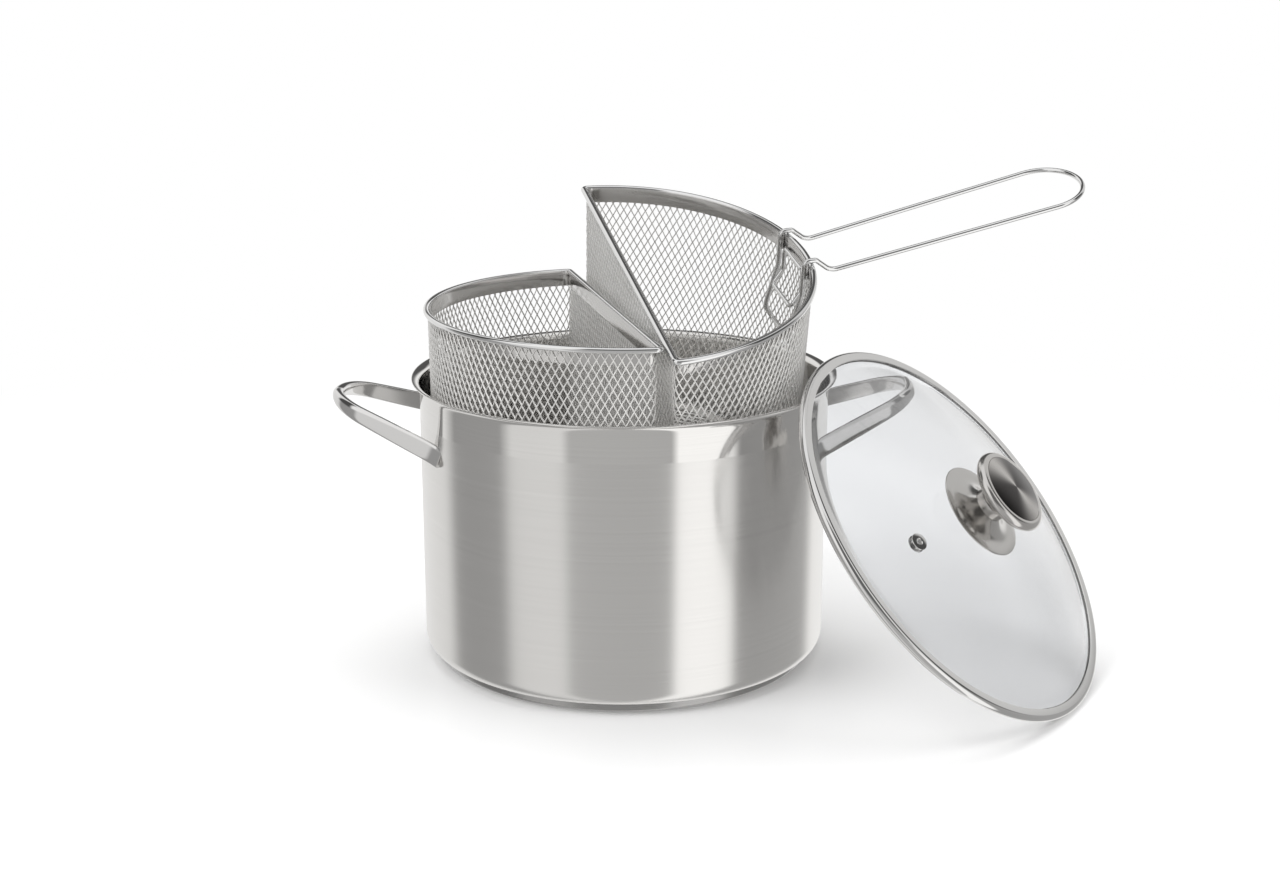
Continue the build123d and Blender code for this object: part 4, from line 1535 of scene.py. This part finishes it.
    def knob_plate(self) -> Surface:
        """Plate under the knob: a flat ring whose middle rises to the stem like a trumpet.

        Its height over the ring is the plate's rise times ((flare - r) / (flare - stem)) to a power.

        Returns:
            Points and quads.
        """
        edge, stem, sheet = self.base_diameter / 2, self.stem_diameter / 2, self.base_sheet
        flare, bore = self.flare_diameter / 2, self.screw_bore / 2
        foot = float(self.face_at(edge - sheet, 1.0)) + sheet
        radii = np.concatenate([np.linspace(stem, flare, self.flare_rings), [edge - sheet / 2]])
        share = np.clip((flare - radii) / (flare - stem), 0, 1) ** self.flare_power
        profile = np.concatenate([
            np.array([[bore, self.stem_foot]]),
            np.stack([radii, foot + (self.stem_foot - foot) * share], 1),
            arc((edge - sheet / 2, foot - sheet / 2), sheet / 2, 60, -90, 6),
            np.array([[bore, foot - sheet]]),
        ])
        return revolved(profile, self.knob_steps)

    def stem(self) -> Surface:
        """Stem with a turned groove half way up, its edges eased.

        Returns:
            Points and quads.
        """
        radius, half, ease = self.stem_diameter / 2, self.groove_width / 2, self.ease
        middle = (self.stem_foot + self.stem_top) / 2
        floor = radius - self.groove_depth
        profile = np.array([
            [0, self.stem_foot], [radius - ease, self.stem_foot], [radius, self.stem_foot + ease],
            [radius, middle - half - ease], [radius - ease, middle - half], [floor, middle - half],
            [floor, middle + half], [radius - ease, middle + half], [radius, middle + half + ease],
            [radius, self.stem_top], [0, self.stem_top],
        ])
        return revolved(profile, self.knob_steps)

    def cap(self) -> Surface:
        """Mushroom cap: a hollowed cone under a fat rounded edge, with a recess for the inlay.

        The cone's height is its rise times its share of the way out to a power.

        Returns:
            Points and quads.
        """
        edge, stem, ring = self.cap_diameter / 2, self.stem_diameter / 2, self.cap_edge
        recess, floor, ease = edge - self.ring, self.cap_top - self.recess, self.ease
        share = np.linspace(0, 1, self.cone_rings)
        out = stem + (edge - ring - stem) * share
        up = self.stem_top + (self.cap_top - 2 * ring - self.stem_top) * share ** self.cone_power
        profile = np.concatenate([
            np.array([[0, self.stem_top]]),
            np.stack([out, up], 1),
            arc((edge - ring, self.cap_top - ring), ring, -90, 90, 14)[1:],
            np.array([[recess + ease, self.cap_top], [recess, self.cap_top - ease]]),
            np.array([[recess, floor], [0, floor]]),
        ])
        return revolved(profile, self.cap_steps)

    def inlay(self) -> Surface:
        """Crowned disc in the cap's recess: a shallow parabola over a flat back.

        Returns:
            Points and quads.
        """
        radius = self.cap_diameter / 2 - self.ring - self.inlay_gap
        floor = self.cap_top - self.recess
        radii = np.linspace(0, radius, self.crown_rings)
        top = self.cap_top + self.crown * (1 - (radii / radius) ** 2)
        profile = np.concatenate([np.stack([radii, top], 1), np.array([[radius, floor], [0, floor]])])
        return revolved(profile, self.knob_steps)

    def build(self, finishes: Finishes) -> None:
        """Makes and dresses the lid's pieces.

        Args:
            finishes: the built materials.
        """
        vent_place = self.place.inner(self.vent_place())
        for name, surface, place, finish, slot, node in (
            ("lid_pane", self.pane(), self.place, Finish.GLASS, "lid_glass", "lid_glass"),
            ("lid_band", self.band_roll(), self.place, Finish.POLISHED, "lid_band", "lid_rim"),
            ("knob_plate", self.knob_plate(), self.place, Finish.PLATE, "knob_steel", "knob_base"),
            ("knob_neck", self.stem(), self.place, Finish.KNOB, "knob_steel", "knob_stem"),
            ("knob_mushroom", self.cap(), self.place, Finish.KNOB, "knob_steel", "knob_cap"),
            ("knob_disc", self.inlay(), self.place, Finish.INLAY, "knob_dark", "knob_inlay"),
            ("vent_tube", self.vent(), vent_place, Finish.POLISHED, "vent_steel", "vent_eyelet"),
        ):
            make_piece(name, surface, place, Body.LID, finishes[finish], (node,))
        # Paints the highlight rays into the inlay's base colour.
        self.rays.dress(finishes[Finish.INLAY], self.place)
        dress(finishes, "knob_screw", Finish.KNOB)
        dress(finishes, "knob_washer", Finish.RUBBER)


# Studio

@dataclass(frozen=True)
class Lamp:
    """Soft square lamp aimed at the pot's middle.

    Attributes:
        name: the lamp's name.
        at: its place in millimetres.
        size: its side in millimetres.
        power: its power in watts.
        aim_height: height on the pot's axis that it points at.
    """

    name: str
    at: tuple[float, float, float]
    size: float
    power: float
    aim_height: float = 120.0

    def build(self) -> None:
        """Makes the lamp; gloss doesn't see it, because it sees the studio's soft boxes."""
        data = bpy.data.lights.new(self.name, "AREA")
        data.size = self.size * MM
        data.energy = self.power
        lamp = bpy.data.objects.new(self.name, data)
        aim = np.array([0.0, 0.0, self.aim_height]) - np.array(self.at)
        flat = math.hypot(aim[0], aim[1])
        lamp.rotation_euler = (math.atan2(flat, -aim[2]), 0, math.atan2(aim[1], aim[0]) - math.pi / 2)
        lamp.location = [v * MM for v in self.at]
        lamp.visible_glossy = False
        bpy.context.scene.collection.objects.link(lamp)


@dataclass
class Studio:
    """Pale floor, soft lamps, and the camera that fits the photograph's angle.

    Bands are pairs of compass degrees, 0 towards the viewer, and grey level.

    Attributes:
        camera_at: the camera's place in millimetres.
        pitch: how far it looks down, in degrees.
        focal_share: focal length as a share of the picture's width.
        sensor: width of the sensor in millimetres.
        fade_start: distance from the origin at which the floor starts to turn white.
        fade_end: distance at which it is white.
        ambient: grey of the light from all round.
        panel: grey of the ceiling panel.
        warm_green: green of the bands as a share of their red.
        warm_blue: blue of the bands as a share of their red.
        high_span: upward share of a direction over which low bands give way to high ones.
        panel_span: upward share over which the bands give way to the ceiling panel.
    """

    camera_at: tuple[float, float, float] = (9.8, -1122.5, 436.6)
    pitch: float = 15.48
    focal_share: float = 1952.5 / 1280
    sensor: float = 36.0
    far_clip: float = 50000.0
    floor_half: float = 6000.0
    floor_grey: float = 0.97
    floor_roughness: float = 0.35
    floor_gloss: float = 0.35
    fade_start: float = 380.0
    fade_end: float = 850.0
    ambient: float = 0.62
    panel: float = 0.95
    warm_green: float = 0.995
    warm_blue: float = 0.985
    high_span: tuple[float, float] = (0.14, 0.24)
    panel_span: tuple[float, float] = (0.84, 0.90)
    low_bands: tuple[tuple[float, float], ...] = (
        (-180, 0.90), (-118, 0.80), (-108, 0.34), (-72, 0.36), (-64, 0.76), (-34, 0.78), (-29, 0.50),
        (27, 0.48), (31, 1.15), (63, 1.15), (68, 0.38), (126, 0.44), (136, 1.0), (180, 0.9),
    )
    high_bands: tuple[tuple[float, float], ...] = (
        (-180, 0.10), (-162, 0.10), (-154, 0.9), (-124, 0.9), (-116, 0.08), (-84, 0.08), (-76, 1.0),
        (-28, 1.0), (-20, 0.16), (38, 0.16), (46, 0.9), (72, 0.9), (80, 0.08), (108, 0.08), (118, 0.7),
        (150, 0.7), (158, 0.10), (180, 0.10),
    )
    lamps: tuple[Lamp, ...] = (
        Lamp("key_left", (-1500, -900, 1900), 1400, 26),
        Lamp("fill_right", (1600, -500, 1500), 1200, 13),
        Lamp("top_back", (0, 900, 2200), 1800, 24),
    )

    def camera(self) -> None:
        """Camera level across and pitched down, with no shift."""
        data = bpy.data.cameras.new("photo_camera")
        data.sensor_width = self.sensor
        data.sensor_fit = "HORIZONTAL"
        data.lens = self.focal_share * self.sensor
        data.clip_end = self.far_clip * MM
        camera = bpy.data.objects.new("photo_camera", data)
        camera.location = [v * MM for v in self.camera_at]
        camera.rotation_euler = (math.radians(90 - self.pitch), 0, 0)
        bpy.context.scene.collection.objects.link(camera)
        bpy.context.scene.camera = camera

    def ramp(self, wiring: Wiring, share: Socket, bands: tuple[tuple[float, float], ...]) -> Socket:
        """Colour ramp of brightness over compass degrees from -180 to 180.

        Args:
            wiring: the wiring of the tree that gets it.
            share: socket that runs from 0 to 1 once round the compass.
            bands: pairs of degrees and grey level.

        Returns:
            The colour's socket.
        """
        ramp = wiring.node("ShaderNodeValToRGB", {"Fac": share})
        stops = ramp.color_ramp.elements
        while len(stops) < len(bands):
            stops.new(0.5)
        for stop, (degrees, level) in zip(stops, bands):
            stop.position = (degrees + 180) / 360
            stop.color = (level, level * self.warm_green, level * self.warm_blue, 1)
        return ramp.outputs["Color"]

    def band_group(self) -> bpy.types.NodeTree:
        """Node group of the studio's soft boxes: grey by a direction's compass degrees and height.

        Low directions take one set of bands, higher ones another, and the top is a pale ceiling panel.

        Returns:
            A group that turns a direction into a grey.
        """
        group = bpy.data.node_groups.new("studio_bands", "ShaderNodeTree")
        socket(group, "Vector", "NodeSocketVector", "INPUT")
        socket(group, "Grey", "NodeSocketColor", "OUTPUT")
        wiring = Wiring(group)
        entry, leave = wiring.node("NodeGroupInput"), wiring.node("NodeGroupOutput")
        straight = wiring.node("ShaderNodeVectorMath", {0: entry.outputs["Vector"]})
        straight.operation = "NORMALIZE"
        way = wiring.node("ShaderNodeSeparateXYZ", {"Vector": straight.outputs["Vector"]}).outputs
        angle = wiring.math("ARCTAN2", way["X"], wiring.math("MULTIPLY", way["Y"], -1.0))
        share = wiring.span(angle, -math.pi, math.pi)
        low, high = (self.ramp(wiring, share, bands) for bands in (self.low_bands, self.high_bands))
        tone = wiring.mix(wiring.span(way["Z"], *self.high_span), low, high)
        tone = wiring.mix(wiring.span(way["Z"], *self.panel_span), tone, grey(self.panel))
        wiring.fill(leave, {"Grey": tone})
        return group

    def world(self, group: bpy.types.NodeTree) -> None:
        """Plain world: white where the camera looks, soft boxes for gloss, pale grey for light.

        Args:
            group: the soft boxes' node group.
        """
        world = bpy.data.worlds.new("studio")
        bpy.context.scene.world = world
        world.use_nodes = True
        wiring = Wiring(world.node_tree)
        path = wiring.node("ShaderNodeLightPath").outputs
        boxes = wiring.group(group, {"Vector": wiring.coordinates("Generated")}).outputs["Grey"]
        unseen = wiring.mix(path["Is Glossy Ray"], grey(self.ambient), boxes)
        seen = wiring.math("MAXIMUM", path["Is Camera Ray"], path["Is Transmission Ray"])
        wiring.fill(world.node_tree.nodes["Background"], {
            "Color": wiring.mix(seen, unseen, grey(1.0)), "Strength": 1.0,
        })

    def floor(self) -> None:
        """Pale floor: it takes the object's shadow and turns white further out; gloss doesn't see it."""
        half = self.floor_half * MM
        mesh = bpy.data.meshes.new("studio_floor")
        corners = [(-half, -half, 0), (half, -half, 0), (half, half, 0), (-half, half, 0)]
        mesh.from_pydata(corners, [], [(0, 1, 2, 3)])
        floor = bpy.data.objects.new("studio_floor", mesh)
        bpy.context.scene.collection.objects.link(floor)
        material, wiring, shader = new_material("studio_floor")
        wiring.fill(shader, {
            "Base Color": grey(self.floor_grey),
            "Roughness": self.floor_roughness,
            "Specular IOR Level": self.floor_gloss,
        })
        away = wiring.node("ShaderNodeVectorMath", {0: wiring.coordinates()})
        away.operation = "LENGTH"
        fade = wiring.span(away.outputs["Value"], self.fade_start * MM, self.fade_end * MM)
        fade.node.interpolation_type = "SMOOTHSTEP"
        white = wiring.node("ShaderNodeEmission")
        wiring.surface(fade, shader.outputs["BSDF"], white.outputs["Emission"])
        mesh.materials.append(material)
        floor.visible_glossy = False

    def build(self) -> None:
        """Sets up camera, floor, world and lamps, and the plain colour view."""
        self.camera()
        self.world(self.band_group())
        self.floor()
        for lamp in self.lamps:
            lamp.build()
        bpy.context.scene.view_settings.view_transform = "Standard"


@dataclass(frozen=True)
class Poses:
    """Where baskets and lid stand in the photograph, in the same values as the drawing.

    Attributes:
        basket_turn: turn of both baskets about their own Z, in degrees.
        right_tilt_front: how far the right basket leans towards the viewer, in degrees.
        right_tilt_side: how far it leans to the right, in degrees.
        right_side_shift: how far to the right it stands, across its lean.
        left_raise: height of the left basket's rim over the pot's lip.
        left_tilt: how far it leans to the right and to the front, in degrees.
        left_contact_turn: where it touches the pot, in degrees from X.
        lean: how far the lid's face looks up, in degrees.
        lean_turn: where it faces, in degrees from X.
        lid_side_shift: how far the lid stands aside, across the way it faces.
        gap: clearance where pieces stand against each other.
    """

    basket_turn: float = 14.4
    right_tilt_front: float = 16.1
    right_tilt_side: float = 1.7
    right_side_shift: float = -5.6
    left_raise: float = 41.3
    left_tilt: float = 0.4
    left_contact_turn: float = 255.0
    lean: float = 40.7
    lean_turn: float = -31.2
    lid_side_shift: float = 40.2
    gap: float = 0.35

    def right(self, pot: Pot, basket: Basket) -> Place:
        """Wedged in the mouth: front wall on the lip, the arc's low back end on the wall.

        Args:
            pot: the pot.
            basket: the basket's sizes.

        Returns:
            The right basket's place.
        """
        tilt = turn_about("y", self.right_tilt_side) @ turn_about("x", self.right_tilt_front)
        axis = tilt[:, 2]
        lean = math.acos(axis[2])
        back = unit(-axis[:2])
        side = np.array([back[1], -back[0]])
        bore = pot.radius - pot.wall - self.gap
        taper = basket.slope
        inset = basket.wire / 2 - basket.net_thickness
        straight = basket.depth - basket.corner
        wall = basket.radius - inset
        foot = wall - straight * taper - basket.corner
        end = math.radians(self.basket_turn) + math.acos((basket.flat + inset) / basket.radius)
        end -= math.atan2(back[1], back[0])
        end_side = foot * math.sin(end) - self.right_side_shift
        reach = math.sqrt((bore - basket.corner) ** 2 - end_side ** 2)
        shift = reach - foot * math.cos(end) * math.cos(lean) - straight * math.sin(lean)
        drop = (wall * math.cos(lean) - bore - shift) / (math.sin(lean) + taper * math.cos(lean))
        height = pot.bend_height + (wall - drop * taper) * math.sin(lean) + drop * math.cos(lean)
        origin = np.append(shift * back + self.right_side_shift * side, height)
        return Place(tilt @ turn_about("z", self.basket_turn), origin)

    def left(self, pot: Pot, basket: Basket) -> Place:
        """Nearly upright, its round wall against the front of the pot's mouth.

        Args:
            pot: the pot.
            basket: the basket's sizes.

        Returns:
            The left basket's place.
        """
        tilt = turn_about("y", self.left_tilt) @ turn_about("x", self.left_tilt)
        drop = self.left_raise + pot.height - pot.bend_height
        inset = basket.wire / 2 - basket.net_thickness
        wall = basket.radius - inset - drop * basket.slope
        swing = math.tan(math.radians(self.left_tilt)) * drop
        shift = pot.radius - pot.wall - self.gap - wall
        turn = math.radians(self.left_contact_turn)
        origin = np.array([shift * math.cos(turn) + swing, shift * math.sin(turn) - swing,
                           pot.height + self.left_raise])
        return Place(tilt @ turn_about("z", self.basket_turn + 180), origin)

    def lid(self, pot: Pot, lid: Lid) -> Place:
        """Standing on the floor and leaning on the pot's lip.

        Args:
            pot: the pot.
            lid: the lid's sizes.

        Returns:
            The lid's place.
        """
        lean, turn = math.radians(self.lean), math.radians(self.lean_turn)
        bead = lid.glass / 2 + lid.band
        height = self.gap + lid.glass_radius * math.cos(lean) + bead
        contact = lid.glass / 2 + lid.skirt_drop + self.gap
        away = pot.lip_radius + (math.sin(lean) * (pot.height - height) + contact) / math.cos(lean)
        ahead = np.array([math.cos(turn), math.sin(turn), 0.0])
        across = np.array([-math.sin(turn), math.cos(turn), 0.0])
        origin = away * ahead + self.lid_side_shift * across + np.array([0, 0, height])
        normal = math.cos(lean) * ahead + math.sin(lean) * np.array([0.0, 0.0, 1.0])
        return Place(np.stack([across, np.cross(normal, across), normal], 1), origin)


def main() -> None:
    """Builds finishes, pot, baskets, handle, lid and studio in order."""
    logging.basicConfig(level=logging.INFO, format="%(message)s")
    lines = brush_group()
    finishes = {finish: finish.value.material(lines) for finish in Finish}
    pot, poses = Pot(), Poses()
    pot.build(finishes)
    sizes = Basket(Body.RIGHT, Place())
    right = Basket(Body.RIGHT, poses.right(pot, sizes))
    left = Basket(Body.LEFT, poses.left(pot, sizes))
    for basket in (left, right):
        basket.build(finishes)
    WireHandle(right.place, right).build(finishes)
    lid = Lid(Place())
    lid.place = poses.lid(pot, lid)
    lid.build(finishes)
    Studio().build()


if __name__ == "__main__":
    main()
